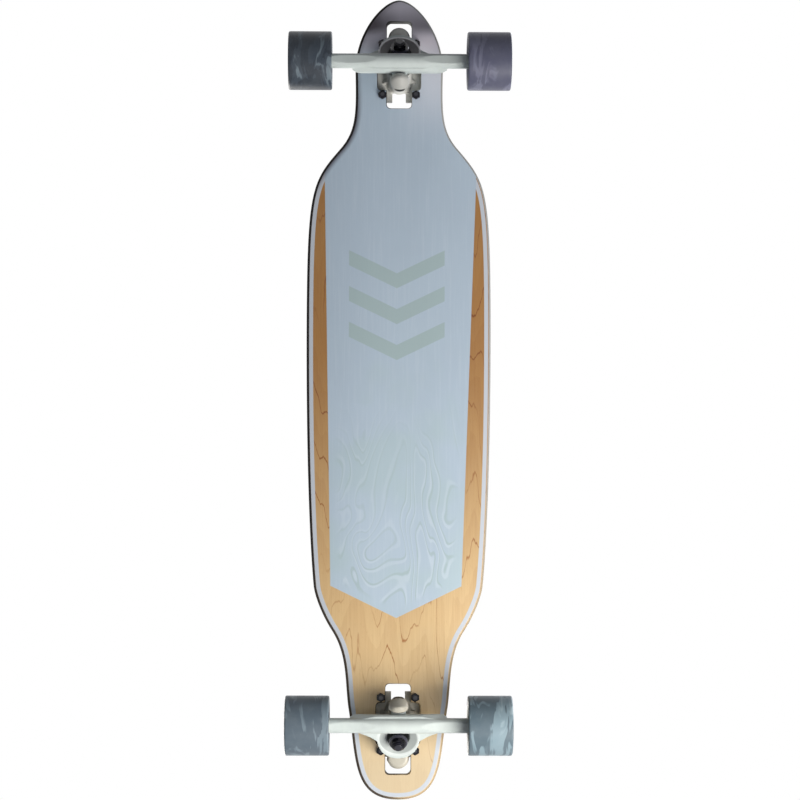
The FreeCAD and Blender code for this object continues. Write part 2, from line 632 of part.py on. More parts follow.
def make_kingpin():
    """Return the kingpin on the steering axis: hexagon head in the baseplate, thread through the nut."""
    end = NUT_SEAT - KINGPIN_NUT_H - KINGPIN_STICKOUT
    ease = KINGPIN_STICKOUT / 2
    shank = turned_z([(0, end), (KINGPIN_R - ease, end), (KINGPIN_R, end + ease), (KINGPIN_R, HEAD_SEAT),
                      (0, HEAD_SEAT)])
    return joined(shank, hexagon(KINGPIN_HEAD_AF, HEAD_SEAT, HEAD_SEAT + KINGPIN_HEAD_H))


def make_kingpin_nut():
    """Return the kingpin's lock nut on the steering axis, facing away from the board."""
    nut = lock_nut(KINGPIN_NUT_AF, KINGPIN_NUT_H, KINGPIN_R + NUT_CLEAR, NUT_COLLAR_H, NUT_COLLAR_WALL)
    nut.rotate(V(0, 0, 0), V(1, 0, 0), 180)
    nut.translate(V(0, 0, NUT_SEAT))
    return nut


def make_mount_bolts():
    """Return one truck's four through bolts, with socket heads on the baseplate."""
    end = DECK_Z - MOUNT_NUT_H - BOLT_STICKOUT
    head_top = PLATE_TOP + BOLT_HEAD_H
    bolt = turned_z([(0, end), (BOLT_R, end), (BOLT_R, PLATE_TOP), (BOLT_HEAD_R, PLATE_TOP),
                     (BOLT_HEAD_R, PLATE_TOP + BOLT_HEAD_H / 3), (BOLT_SOCKET_R + BOLT_HEAD_H / 2, head_top),
                     (0, head_top)])
    bolt = bolt.cut(hexagon(BOLT_SOCKET_R * math.sqrt(3), head_top - BOLT_SOCKET_DEPTH, head_top + 1))
    return Part.makeCompound([bolt.translated(V(u, v, 0)) for u, v in bolt_places()])


def make_mount_nuts():
    """Return one truck's four lock nuts against the deck's underside."""
    nut = lock_nut(MOUNT_NUT_AF, MOUNT_NUT_H, BOLT_R + NUT_CLEAR, MOUNT_NUT_COLLAR_H, MOUNT_NUT_COLLAR_WALL)
    nut.rotate(V(0, 0, 0), V(1, 0, 0), 180)
    return Part.makeCompound([nut.translated(V(u, v, DECK_Z)) for u, v in bolt_places()])


# Places along the axle, outwards from the hanger's end face
INNER_WASHER_Y = HANGER_W / 2
INNER_BEARING_Y = INNER_WASHER_Y + SPEED_WASHER_T
SPACER_Y = INNER_BEARING_Y + BEARING_W
OUTER_BEARING_Y = SPACER_Y + SPACER_L
OUTER_WASHER_Y = OUTER_BEARING_Y + BEARING_W
AXLE_NUT_Y = OUTER_WASHER_Y + SPEED_WASHER_T
AXLE_END_Y = AXLE_NUT_Y + AXLE_NUT_H + AXLE_STICKOUT
WHEEL_IN_Y = INNER_BEARING_Y - WHEEL_OFFSET
WHEEL_OUT_Y = WHEEL_IN_Y + WHEEL_W


def make_axle():
    """Return the axle through the hanger, threaded at both ends."""
    r = BEARING_BORE_R
    ease = AXLE_STICKOUT / 2
    return turned_y([(0, -AXLE_END_Y), (r - ease, -AXLE_END_Y), (r, ease - AXLE_END_Y), (r, AXLE_END_Y - ease),
                     (r - ease, AXLE_END_Y), (0, AXLE_END_Y)])


def make_tyre():
    """Return the urethane wheel body: rounded lips and sides that dip in to the core."""
    r_in = CORE_R + BOND_GAP
    lip_r = WHEEL_R - LIP_ROUND
    land_r = lip_r - LIP_LAND

    def corner(sign, face_y):
        bend = LIP_ROUND * (1 - math.sqrt(0.5))
        a = V(lip_r, face_y, 0)
        m = V(WHEEL_R - bend, face_y + sign * bend, 0)
        b = V(WHEEL_R, face_y + sign * LIP_ROUND, 0)
        return Part.Arc(a, m, b).toShape(), a, b

    arc_in, a_in, b_in = corner(1, WHEEL_IN_Y)
    arc_out, a_out, b_out = corner(-1, WHEEL_OUT_Y)
    chain = [b_out, b_in]
    edges = [Part.makeLine(*chain), arc_in, arc_out]
    path = [a_in, V(land_r, WHEEL_IN_Y, 0), V(FACE_R - LIP_LAND, WHEEL_IN_Y + FACE_DIP, 0),
            V(r_in, INNER_BEARING_Y, 0), V(r_in, OUTER_WASHER_Y, 0),
            V(FACE_R - LIP_LAND, WHEEL_OUT_Y - FACE_DIP, 0), V(land_r, WHEEL_OUT_Y, 0), a_out]
    edges += [Part.makeLine(a, b) for a, b in zip(path, path[1:])]
    return turned(edges, V(0, 0, 0), V(0, 1, 0))


def make_core():
    """Return the wheel core with its two bearing seats and ribbed faces."""
    bore = BEARING_R + SEAT_CLEAR
    core = turned_y([(bore, INNER_BEARING_Y), (CORE_R, INNER_BEARING_Y), (CORE_R, OUTER_WASHER_Y),
                     (bore, OUTER_WASHER_Y), (bore, OUTER_BEARING_Y), (CORE_LEDGE_R, OUTER_BEARING_Y),
                     (CORE_LEDGE_R, SPACER_Y), (bore, SPACER_Y)])
    for y0, y1 in ((INNER_BEARING_Y, INNER_BEARING_Y + CORE_POCKET), (OUTER_WASHER_Y - CORE_POCKET, OUTER_WASHER_Y)):
        pocket = turned_y([(CORE_RIB_IN_R, y0), (CORE_RIB_OUT_R, y0), (CORE_RIB_OUT_R, y1), (CORE_RIB_IN_R, y1)])
        for i in range(CORE_RIB_COUNT):
            rib = box(0, CORE_R, -BIG, BIG, -CORE_RIB_W / 2, CORE_RIB_W / 2)
            rib.rotate(V(0, 0, 0), V(0, 1, 0), 360 / CORE_RIB_COUNT * i)
            pocket = pocket.cut(rib)
        core = core.cut(pocket)
    return core.removeSplitter()


def make_outer_races():
    """Return one wheel's two bearing bodies: outer race with its shields."""
    gap_r = RACE_IN_R + RUN_CLEAR
    races = []
    for y in (INNER_BEARING_Y, OUTER_BEARING_Y):
        far = y + BEARING_W
        races.append(turned_y([
            (gap_r, y + SHIELD_INSET), (RACE_OUT_R, y + SHIELD_INSET), (RACE_OUT_R, y), (BEARING_R, y),
            (BEARING_R, far), (RACE_OUT_R, far), (RACE_OUT_R, far - SHIELD_INSET), (gap_r, far - SHIELD_INSET)]))
    return Part.makeCompound(races)


def sleeve(r_out, y0, length):
    """Return a ring that slides on the axle."""
    r_in = BEARING_BORE_R + AXLE_CLEAR
    return turned_y([(r_in, y0), (r_out, y0), (r_out, y0 + length), (r_in, y0 + length)])


def axle_nut():
    """Return the left axle nut, facing outwards."""
    nut = lock_nut(AXLE_NUT_AF, AXLE_NUT_H, BEARING_BORE_R + AXLE_CLEAR, NUT_COLLAR_H, NUT_COLLAR_WALL)
    nut.rotate(V(0, 0, 0), V(1, 0, 0), -90)
    nut.translate(V(0, AXLE_NUT_Y, 0))
    return nut


def both_sides(shapes):
    """Return a group of pieces with their copies on the other wheel."""
    group = []
    for shape in shapes:
        other = shape.copy()
        other.rotate(V(0, 0, 0), V(0, 0, 1), 180)
        group += [shape, other]
    return Part.makeCompound(group)


def on_axle(shape):
    """Move a piece drawn round the Y axis onto the truck's axle."""
    return shape.translated(V(AXLE_OUT, 0, AXLE_Z))


pieces = {"deck": make_deck(), "grip_tape": make_grip()}

inner_races = [sleeve(RACE_IN_R, y, BEARING_W) for y in (INNER_BEARING_Y, OUTER_BEARING_Y)]
speed_washers = [sleeve(SPEED_WASHER_R, y, SPEED_WASHER_T) for y in (INNER_WASHER_Y, OUTER_WASHER_Y)]
truck = {
    "baseplate": make_baseplate(),
    "hanger": from_axis(make_hanger()),
    "pivot_cup": from_axis(make_pivot_cup()),
    "board_bushing": from_axis(make_board_bushing()),
    "road_bushing": from_axis(make_road_bushing()),
    "seat_washer": from_axis(make_seat_washer()),
    "cup_washer": from_axis(make_road_washer()),
    "kingpin": from_axis(make_kingpin()),
    "kingpin_nut": from_axis(make_kingpin_nut()),
    "mount_bolts": make_mount_bolts(),
    "mount_nuts": make_mount_nuts(),
    "axle": on_axle(make_axle()),
    "axle_nuts": on_axle(both_sides([axle_nut()])),
    "speed_washers": on_axle(both_sides(speed_washers)),
    "inner_races": on_axle(both_sides(inner_races)),
    "spacers": on_axle(both_sides([sleeve(SPACER_R, SPACER_Y, SPACER_L)])),
}
for end in ("front", "rear"):
    for name, shape in truck.items():
        pieces[f"{end}_{name}"] = placed(shape, end == "front")

wheel = {"wheel": make_tyre(), "core": make_core(), "outer_races": make_outer_races()}
for end in ("front", "rear"):
    for side in ("left", "right"):
        far_side = (side == "left") != (end == "front")
        for name, shape in wheel.items():
            copy = shape.copy()
            if far_side:
                copy.rotate(V(0, 0, 0), V(0, 0, 1), 180)
            pieces[f"{end}_{side}_{name}"] = placed(on_axle(copy), end == "front")

for name, shape in pieces.items():
    print(name, shape.ShapeType, len(shape.Solids), shape.isValid(), round(shape.Volume, 1))
    shape.exportStep(f"parts/{name}.step")
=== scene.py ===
"""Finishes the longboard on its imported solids: veneer and print, castings, wheels, hardware and studio."""
import logging
import math
from dataclasses import dataclass, replace
from enum import Enum
from typing import Any

import bmesh
import bpy
import numpy as np
from mathutils import Matrix, Vector


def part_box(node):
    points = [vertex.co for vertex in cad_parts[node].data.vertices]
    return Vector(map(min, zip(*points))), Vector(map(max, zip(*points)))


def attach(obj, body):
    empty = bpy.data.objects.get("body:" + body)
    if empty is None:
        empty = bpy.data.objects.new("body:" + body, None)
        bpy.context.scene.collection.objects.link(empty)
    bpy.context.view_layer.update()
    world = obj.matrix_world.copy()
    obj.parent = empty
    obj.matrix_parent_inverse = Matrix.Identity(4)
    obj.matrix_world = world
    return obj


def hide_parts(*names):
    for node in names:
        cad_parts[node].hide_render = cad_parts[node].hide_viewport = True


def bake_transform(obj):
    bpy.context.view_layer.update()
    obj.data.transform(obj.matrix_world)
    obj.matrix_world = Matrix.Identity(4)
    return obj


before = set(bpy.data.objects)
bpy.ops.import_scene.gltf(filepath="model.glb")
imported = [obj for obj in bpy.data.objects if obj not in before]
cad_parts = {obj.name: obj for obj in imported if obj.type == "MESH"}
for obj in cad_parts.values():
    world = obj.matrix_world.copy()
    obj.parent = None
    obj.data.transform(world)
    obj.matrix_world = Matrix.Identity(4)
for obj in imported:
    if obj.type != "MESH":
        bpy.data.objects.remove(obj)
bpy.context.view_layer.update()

LOG = logging.getLogger("longboard")
MM = 0.001
MERGE = 1e-6
FLOAT, VECTOR, COLOUR = "NodeSocketFloat", "NodeSocketVector", "NodeSocketColor"
Pair = tuple[float, float]
Triple = tuple[float, float, float]


class End(Enum):
    """The board's two ends, with the way each truck faces along X."""

    FRONT = ("front", 1.0)
    REAR = ("rear", -1.0)

    @property
    def label(self) -> str:
        """The end's name, as the nodes carry it."""
        return self.value[0]

    @property
    def facing(self) -> float:
        """1 where the truck faces the nose, -1 where it faces the tail."""
        return self.value[1]


class Side(Enum):
    """The two sides of the board."""

    LEFT = "left"
    RIGHT = "right"


def paint(code: str) -> tuple[float, float, float, float]:
    """Turn a written colour into the linear one that a shader takes.

    Args:
        code: Six hexadecimal digits after a hash sign.

    Returns:
        Red, green, blue and full opacity.
    """
    parts = np.array([int(code[i:i + 2], 16) for i in (1, 3, 5)]) / 255.0
    linear = np.where(parts <= 0.04045, parts / 12.92, ((parts + 0.055) / 1.055) ** 2.4)
    return (*(float(v) for v in linear), 1.0)


def grid_faces(rows: int, cols: int, wrap_rows: bool = False, wrap_cols: bool = False) -> np.ndarray:
    """Join a grid of points into four-sided faces.

    Args:
        rows: Points along the first parameter.
        cols: Points along the second parameter.
        wrap_rows: True where the last row meets the first.
        wrap_cols: True where the last column meets the first.

    Returns:
        Corner numbers, four to a face.
    """
    a, b = np.meshgrid(np.arange(rows - (not wrap_rows)), np.arange(cols - (not wrap_cols)), indexing="ij")
    an, bn = (a + 1) % rows, (b + 1) % cols
    return np.stack([a * cols + b, an * cols + b, an * cols + bn, a * cols + bn], axis=-1).reshape(-1, 4)


def grid_piece(name: str, points: np.ndarray, faces: np.ndarray,
               uv: np.ndarray | None = None) -> bpy.types.Object:
    """Make an object from grid points, close its seams and turn its faces outwards.

    Args:
        name: The piece's name.
        points: Places in metres, one row each.
        faces: Corner numbers, four to a face.
        uv: Two surface coordinates for each point, where a finish needs them.

    Returns:
        The linked object, at the origin.
    """
    mesh = bpy.data.meshes.new(name)
    mesh.vertices.add(len(points))
    mesh.vertices.foreach_set("co", points.astype(np.float32).ravel())
    mesh.loops.add(faces.size)
    mesh.loops.foreach_set("vertex_index", faces.astype(np.int32).ravel())
    mesh.polygons.add(len(faces))
    mesh.polygons.foreach_set("loop_start", np.arange(0, faces.size, 4, dtype=np.int32))
    mesh.update(calc_edges=True)
    if uv is not None:
        layer = mesh.uv_layers.new(name="surface")
        layer.data.foreach_set("uv", uv[faces.ravel()].astype(np.float32).ravel())
    soft = bmesh.new()
    soft.from_mesh(mesh)
    bmesh.ops.remove_doubles(soft, verts=soft.verts, dist=MERGE)
    bmesh.ops.dissolve_degenerate(soft, edges=soft.edges, dist=MERGE / 10)
    bmesh.ops.recalc_face_normals(soft, faces=soft.faces)
    soft.to_mesh(mesh)
    soft.free()
    shade(mesh)
    piece = bpy.data.objects.new(name, mesh)
    bpy.context.scene.collection.objects.link(piece)
    return piece


def shade(mesh: bpy.types.Mesh, crease_deg: float = 40.0) -> None:
    """Shade a mesh smoothly, apart from its creases."""
    mesh.polygons.foreach_set("use_smooth", np.ones(len(mesh.polygons), dtype=bool))
    mesh.set_sharp_from_angle(angle=math.radians(crease_deg))
    mesh.update()


def bake_modifiers(piece: bpy.types.Object) -> None:
    """Replace a piece's mesh by the one its modifiers give, and drop the modifiers."""
    bpy.context.view_layer.update()
    seen = piece.evaluated_get(bpy.context.evaluated_depsgraph_get())
    baked = bpy.data.meshes.new_from_object(seen)
    piece.modifiers.clear()
    piece.data = baked


def dress(piece: bpy.types.Object, material: bpy.types.Material) -> None:
    """Give a piece one material."""
    piece.data.materials.clear()
    piece.data.materials.append(material)


def eased_loop(corners: np.ndarray, radii: np.ndarray, steps: int = 6) -> np.ndarray:
    """Round the corners of a closed polygon.

    Each corner is replaced by a curve of the second degree between the two points one radius away from it.

    Args:
        corners: Two coordinates for each corner, in order.
        radii: How far from each corner its curve starts.
        steps: Points to a corner.

    Returns:
        The rounded loop's points.
    """
    before, after = np.roll(corners, 1, axis=0), np.roll(corners, -1, axis=0)
    to_before, to_after = before - corners, after - corners
    len_b = np.linalg.norm(to_before, axis=1, keepdims=True)
    len_a = np.linalg.norm(to_after, axis=1, keepdims=True)
    start = corners + to_before / len_b * np.minimum(radii[:, None], len_b * 0.49)
    stop = corners + to_after / len_a * np.minimum(radii[:, None], len_a * 0.49)
    t = np.linspace(0, 1, steps)[None, :, None]
    curve = (1 - t) ** 2 * start[:, None] + 2 * t * (1 - t) * corners[:, None] + t ** 2 * stop[:, None]
    return curve.reshape(-1, 2)


def turned(name: str, loop: np.ndarray, origin: Vector, axis: Vector, segments: int) -> bpy.types.Object:
    """Turn a closed half section about an axis.

    A point of the surface is origin + axis * along + (across * cos a + beside * sin a) * radius.

    Args:
        name: The piece's name.
        loop: (radius, along) for each point of the section.
        origin: A point on the axis.
        axis: The axis's direction.
        segments: Points round the axis.

    Returns:
        The turned piece.
    """
    along = np.array(axis.normalized())
    across = np.array(axis.orthogonal().normalized())
    beside = np.cross(along, across)
    a = np.linspace(0, 2 * np.pi, segments, endpoint=False)
    ring = np.cos(a)[:, None] * across + np.sin(a)[:, None] * beside
    points = np.array(origin) + loop[None, :, 1:2] * along + ring[:, None, :] * loop[None, :, 0:1]
    return grid_piece(name, points.reshape(-1, 3), grid_faces(segments, len(loop), True, True))


class Sketch:
    """Places shader nodes in one tree and joins them."""

    def __init__(self, tree: bpy.types.NodeTree) -> None:
        """Keep the tree that the nodes go into."""
        self.tree = tree

    def node(self, kind: str, **settings: Any) -> bpy.types.Node:
        """Add a node and set its own properties."""
        made = self.tree.nodes.new(kind)
        for key, value in settings.items():
            setattr(made, key, value)
        return made

    def feed(self, socket: bpy.types.NodeSocket, value: Any) -> None:
        """Join a socket to another, or set a plain value on it."""
        if isinstance(value, bpy.types.NodeSocket):
            self.tree.links.new(value, socket)
        else:
            socket.default_value = value

    def math(self, operation: str, a: Any, b: Any = 0.0, clamp: bool = False) -> bpy.types.NodeSocket:
        """Work out one step of arithmetic."""
        made = self.node("ShaderNodeMath", operation=operation, use_clamp=clamp)
        self.feed(made.inputs[0], a)
        self.feed(made.inputs[1], b)
        return made.outputs[0]

    def times(self, a: Any, b: Any, clamp: bool = False) -> bpy.types.NodeSocket:
        """Multiply two values."""
        return self.math("MULTIPLY", a, b, clamp)

    def plus(self, a: Any, b: Any, clamp: bool = False) -> bpy.types.NodeSocket:
        """Add two values."""
        return self.math("ADD", a, b, clamp)

    def minus(self, a: Any, b: Any) -> bpy.types.NodeSocket:
        """Take the second value from the first."""
        return self.math("SUBTRACT", a, b)

    def apart(self, a: Any, b: Any) -> bpy.types.NodeSocket:
        """Find how far two values are apart."""
        return self.math("ABSOLUTE", self.minus(a, b))

    def vector(self, operation: str, *given: Any, gives: str = "Vector") -> bpy.types.NodeSocket:
        """Work out one step of arithmetic on vectors."""
        made = self.node("ShaderNodeVectorMath", operation=operation)
        for socket, value in zip(made.inputs, given):
            self.feed(socket, value)
        return made.outputs[gives]

    def split(self, vector: Any) -> list[bpy.types.NodeSocket]:
        """Part a vector into X, Y and Z."""
        made = self.node("ShaderNodeSeparateXYZ")
        self.feed(made.inputs[0], vector)
        return list(made.outputs)

    def step(self, value: Any, low: float, high: float, start: float = 0.0,
             stop: float = 1.0) -> bpy.types.NodeSocket:
        """Rise smoothly from start to stop while the value goes from low to high."""
        made = self.node("ShaderNodeMapRange", interpolation_type="SMOOTHSTEP")
        for socket, given in zip(made.inputs, (value, low, high, start, stop)):
            self.feed(socket, given)
        return made.outputs[0]

    def between(self, value: Any, rise: Pair, fall: Pair, rest: float = 0.0) -> bpy.types.NodeSocket:
        """Rise smoothly from 0 to 1 over one span of the value and fall to the rest over another."""
        return self.times(self.step(value, *rise), self.step(value, *fall, 1.0, rest))

    def mix(self, factor: Any, a: Any, b: Any, blend: str = "MIX") -> bpy.types.NodeSocket:
        """Mix two colours."""
        made = self.node("ShaderNodeMix", data_type="RGBA", blend_type=blend)
        self.feed(made.inputs[0], factor)
        self.feed(made.inputs[6], a)
        self.feed(made.inputs[7], b)
        return made.outputs[2]

    def stretch(self, vector: Any, scale: Triple,
                shift: Triple = (0.0, 0.0, 0.0)) -> bpy.types.NodeSocket:
        """Scale and shift a pattern's coordinates."""
        made = self.node("ShaderNodeMapping")
        self.feed(made.inputs["Vector"], vector)
        made.inputs["Scale"].default_value = scale
        made.inputs["Location"].default_value = shift
        return made.outputs[0]

    def noise(self, vector: Any, scale: Any, detail: float = 2.0, roughness: float = 0.5,
              distortion: float = 0.0, gives: int | str = 0) -> bpy.types.NodeSocket:
        """Add a cloudy pattern."""
        made = self.node("ShaderNodeTexNoise")
        self.feed(made.inputs["Vector"], vector)
        self.feed(made.inputs["Scale"], scale)
        made.inputs["Detail"].default_value = detail
        made.inputs["Roughness"].default_value = roughness
        made.inputs["Distortion"].default_value = distortion
        return made.outputs[gives]

    def streaks(self, vector: Any, scale: Triple, detail: float = 2.0, roughness: float = 0.5,
                shift: Triple = (0.0, 0.0, 0.0), distortion: float = 0.0) -> bpy.types.NodeSocket:
        """Add a cloudy pattern that is drawn out along the axes."""
        return self.noise(self.stretch(vector, scale, shift), 1.0, detail, roughness, distortion)

    def ramp(self, value: Any, stops: list[tuple[float, str]]) -> bpy.types.NodeSocket:
        """Turn a value into a colour by stops."""
        made = self.node("ShaderNodeValToRGB")
        made.color_ramp.interpolation = "EASE"
        keys = made.color_ramp.elements
        while len(keys) < len(stops):
            keys.new(0.5)
        for key, (place, code) in zip(keys, stops):
            key.position = place
            key.color = paint(code)
        self.feed(made.inputs[0], value)
        return made.outputs[0]

    def place(self) -> bpy.types.NodeSocket:
        """The piece's own coordinates, in metres."""
        return self.node("ShaderNodeTexCoord").outputs["Object"]

    def bump(self, height: Any, depth: float) -> bpy.types.NodeSocket:
        """Turn a height into a bent normal."""
        made = self.node("ShaderNodeBump")
        made.inputs["Distance"].default_value = depth
        self.feed(made.inputs["Height"], height)
        return made.outputs[0]


def set_plain(node: bpy.types.Node, values: dict[str, Any]) -> None:
    """Set plain values on a node's inputs.

    Args:
        node: The node.
        values: A value for each named input.
    """
    for name, value in values.items():
        node.inputs[name].default_value = value


class SharedEffects:
    """Shader groups that several finishes place with their own values."""

    def __init__(self) -> None:
        """Build each group once."""
        self.handling = self._handling()
        self.veneer = self._veneer()

    def wear(self, s: Sketch, at: Any, **values: float) -> bpy.types.Node:
        """Place the handling wear in a material.

        Args:
            s: The material's sketch.
            at: The piece's own coordinates.
            values: Values for the group's inputs, under their names in small letters.

        Returns:
            The placed group.
        """
        made = s.node("ShaderNodeGroup", node_tree=self.handling)
        s.feed(made.inputs["Position"], at)
        set_plain(made, {key.replace("_", " ").title(): value for key, value in values.items()})
        return made

    @staticmethod
    def _group(name: str, takes: list[tuple[str, str, Any]],
               gives: list[tuple[str, str]]) -> tuple[Any, Sketch, Any, Any]:
        """Start a group with named inputs and outputs.

        Args:
            name: The group's name.
            takes: Name, socket type and value of each input.
            gives: Name and socket type of each output.

        Returns:
            The group, a sketch of it, and its input and output nodes.
        """
        tree = bpy.data.node_groups.new(name, "ShaderNodeTree")
        for label, kind, value in takes:
            socket = tree.interface.new_socket(name=label, in_out="INPUT", socket_type=kind)
            if value is not None:
                socket.default_value = value
        for label, kind in gives:
            tree.interface.new_socket(name=label, in_out="OUTPUT", socket_type=kind)
        sketch = Sketch(tree)
        return tree, sketch, sketch.node("NodeGroupInput"), sketch.node("NodeGroupOutput")

    def _handling(self) -> bpy.types.NodeTree:
        """Light wear from handling: cloudy dulling, fine scratches and a grain of the surface itself.

        Returns:
            The group. Shade is a mask of the dulled places, Dull a value for roughness and Grain a height.
        """
        tree, s, takes, gives = self._group(
            "handling_wear",
            [("Position", VECTOR, None), ("Grain Scale", FLOAT, 900.0), ("Roughness", FLOAT, 0.4),
             ("Spread", FLOAT, 0.1)],
            [("Shade", FLOAT), ("Dull", FLOAT), ("Grain", FLOAT)])
        at = takes.outputs["Position"]
        clouds = s.noise(at, 38.0, 4.0, 0.6)
        scratch = s.streaks(at, (160.0, 900.0, 420.0), 3.0, 0.65, distortion=0.6)
        grain = s.noise(at, takes.outputs["Grain Scale"], 2.0, 0.55)
        both = s.plus(s.step(clouds, 0.36, 0.72), s.step(scratch, 0.60, 0.74))
        s.feed(gives.inputs["Shade"], s.times(both, 0.5))
        mean = s.plus(s.times(clouds, 0.6), s.times(scratch, 0.4))
        shift = s.times(s.times(s.minus(mean, 0.5), 2.0), takes.outputs["Spread"])
        s.feed(gives.inputs["Dull"], s.plus(shift, takes.outputs["Roughness"], clamp=True))
        s.feed(gives.inputs["Grain"], s.plus(grain, s.times(scratch, 0.35)))
        return tree

    def _veneer(self) -> bpy.types.NodeTree:
        """Rotary-cut maple: soft bands, thin cathedral lines that run to points, fibres and small flecks.

        Returns:
            The group. Position has the grain along X, Colour is the wood and Height its open pores.
        """
        tree, s, takes, gives = self._group(
            "maple_veneer",
            [("Position", VECTOR, None), ("Light Wood", COLOUR, (0.8, 0.6, 0.4, 1.0)),
             ("Dark Wood", COLOUR, (0.5, 0.3, 0.15, 1.0))],
            [("Colour", COLOUR), ("Height", FLOAT)])
        at = takes.outputs["Position"]
        along = s.split(at)[0]
        hills = s.streaks(at, (4.0, 44.0, 3.0), 1.4, 0.40, (0.37, 0.21, 0.0))
        wobble = s.streaks(at, (30.0, 190.0, 10.0))
        level = s.plus(s.times(hills, 3.8), s.times(wobble, 0.30))
        ring = s.math("FRACT", s.plus(level, s.times(along, 13.0)))
        patchy = s.step(s.streaks(at, (7.0, 20.0, 3.0), 1.0, shift=(2.0, 5.0, 0.0)), 0.34, 0.62)
        line = s.times(s.step(s.apart(ring, 0.5), 0.0, 0.036, 1.0, 0.0), patchy)
        band = s.step(ring, 0.05, 0.95)
        fibre = s.streaks(at, (16.0, 900.0, 60.0), roughness=0.6)
        fleck = s.step(s.streaks(at, (150.0, 1500.0, 60.0), 1.0), 0.66, 0.76)
        cloud = s.streaks(at, (4.0, 11.0, 3.0), shift=(4.0, 1.0, 0.0))
        deep = s.times(band, 0.10)
        marks = ((s.step(fibre, 0.3, 0.8), 0.16), (s.step(cloud, 0.3, 0.75), 0.14), (fleck, 0.16))
        for mark, weight in marks:
            deep = s.plus(deep, s.times(mark, weight))
        deep = s.plus(deep, s.times(line, 0.85), clamp=True)
        s.feed(gives.inputs["Colour"], s.mix(deep, takes.outputs["Light Wood"], takes.outputs["Dark Wood"]))
        s.feed(gives.inputs["Height"], s.minus(fibre, s.plus(fleck, line)))
        return tree


@dataclass(frozen=True)
class Finish:
    """A finish that becomes one material."""

    name: str

    def start(self) -> tuple[bpy.types.Material, Sketch, bpy.types.Node]:
        """Start a material.

        Returns:
            The material, a sketch of its tree and its surface shader.
        """
        material = bpy.data.materials.new(self.name)
        material.use_nodes = True
        tree = material.node_tree
        return material, Sketch(tree), tree.nodes["Principled BSDF"]


@dataclass(frozen=True)
class PaintedLightRing:
    """Painted light about a line, beyond a plane: shade in a hanger's dish, on a pivot tower and in its
    hollow, a highlight on a hanger's rim, and a darker washer middle.
    """

    centre: Triple
    line: Triple
    radius: float
    tone: str
    share: float
    plane: Triple | None = None
    inner_soft: float = 0.0008
    outer_soft: float = 0.0004
    plane_soft: float = 0.0020

    def lay(self, s: Sketch, tone: Any) -> Any:
        """Change a tone near the line, on the far side of the plane.

        The plane is square to the line if none is given. A point's distance from the line is the length of
        (point - centre) x line.

        Args:
            s: The material's sketch.
            tone: The tone of the clean paint.

        Returns:
            The changed tone.
        """
        away = s.vector("SUBTRACT", s.place(), self.centre)
        far = s.vector("LENGTH", s.vector("CROSS_PRODUCT", away, self.line), gives="Value")
        along = s.vector("DOT_PRODUCT", away, self.plane or self.line, gives="Value")
        inside = s.step(far, self.radius - self.inner_soft, self.radius + self.outer_soft, self.share, 0.0)
        beyond = s.step(along, -self.plane_soft, 0.0, 1.0, 0.0)
        return s.mix(s.times(inside, beyond), tone, paint(self.tone))


@dataclass(frozen=True)
class WornFinish(Finish):
    """A plain hard or rubbery finish with light handling wear, and any painted shade and highlights laid over
    it.
    """

    clean: str
    dulled: str
    roughness: float
    spread: float = 0.08
    metallic: float = 0.0
    grain_scale: float = 900.0
    grain_depth: float = 0.00004
    coat: float = 0.0
    coat_roughness: float = 0.18
    specular: float = 0.5
    painted_light: tuple[PaintedLightRing, ...] = ()

    def build(self, effects: SharedEffects) -> bpy.types.Material:
        """Make the material.

        Args:
            effects: The shared shader groups.

        Returns:
            The finished material.
        """
        material, s, shader = self.start()
        wear = effects.wear(s, s.place(), grain_scale=self.grain_scale, roughness=self.roughness,
                            spread=self.spread)
        tone = s.mix(wear.outputs["Shade"], paint(self.clean), paint(self.dulled))
        for seat in self.painted_light:
            tone = seat.lay(s, tone)
        s.feed(shader.inputs["Base Color"], tone)
        s.feed(shader.inputs["Roughness"], wear.outputs["Dull"])
        s.feed(shader.inputs["Normal"], s.bump(wear.outputs["Grain"], self.grain_depth))
        set_plain(shader, {"Metallic": self.metallic, "Coat Weight": self.coat,
                           "Coat Roughness": self.coat_roughness, "Specular IOR Level": self.specular})
        return material


@dataclass(frozen=True)
class GripFinish(Finish):
    """Black grit glued on a sheet: coarse grains, a few of them painted lighter as painted glints."""

    base: str = "#141415"
    grain: str = "#2B2B2D"
    glint: str = "#6E6E72"
    grit_per_m: float = 1500.0
    depth: float = 0.0005

    def build(self, effects: SharedEffects) -> bpy.types.Material:
        """Make the material.

        Args:
            effects: The shared shader groups.

        Returns:
            The finished material.
        """
        material, s, shader = self.start()
        at = s.place()
        grains = s.node("ShaderNodeTexVoronoi")
        s.feed(grains.inputs["Vector"], at)
        grains.inputs["Scale"].default_value = self.grit_per_m
        heap = s.noise(at, self.grit_per_m * 0.4, 3.0, 0.6)
        wear = effects.wear(s, at)
        cell = s.node("ShaderNodeSeparateColor")
        s.feed(cell.inputs[0], grains.outputs["Color"])
        tone = s.mix(s.step(cell.outputs[0], 0.3, 1.0), paint(self.base), paint(self.grain))
        # A few grains painted lighter as painted glints.
        tone = s.mix(s.step(cell.outputs[1], 0.955, 0.985), tone, paint(self.glint))
        tone = s.mix(s.times(wear.outputs["Shade"], 0.35), tone, paint(self.grain))
        s.feed(shader.inputs["Base Color"], tone)
        s.feed(shader.inputs["Roughness"], s.step(cell.outputs[2], 0.0, 1.0, 0.62, 0.98))
        height = s.minus(s.times(heap, 0.7), grains.outputs["Distance"])
        s.feed(shader.inputs["Normal"], s.bump(height, self.depth))
        shader.inputs["Specular IOR Level"].default_value = 0.3
        return material


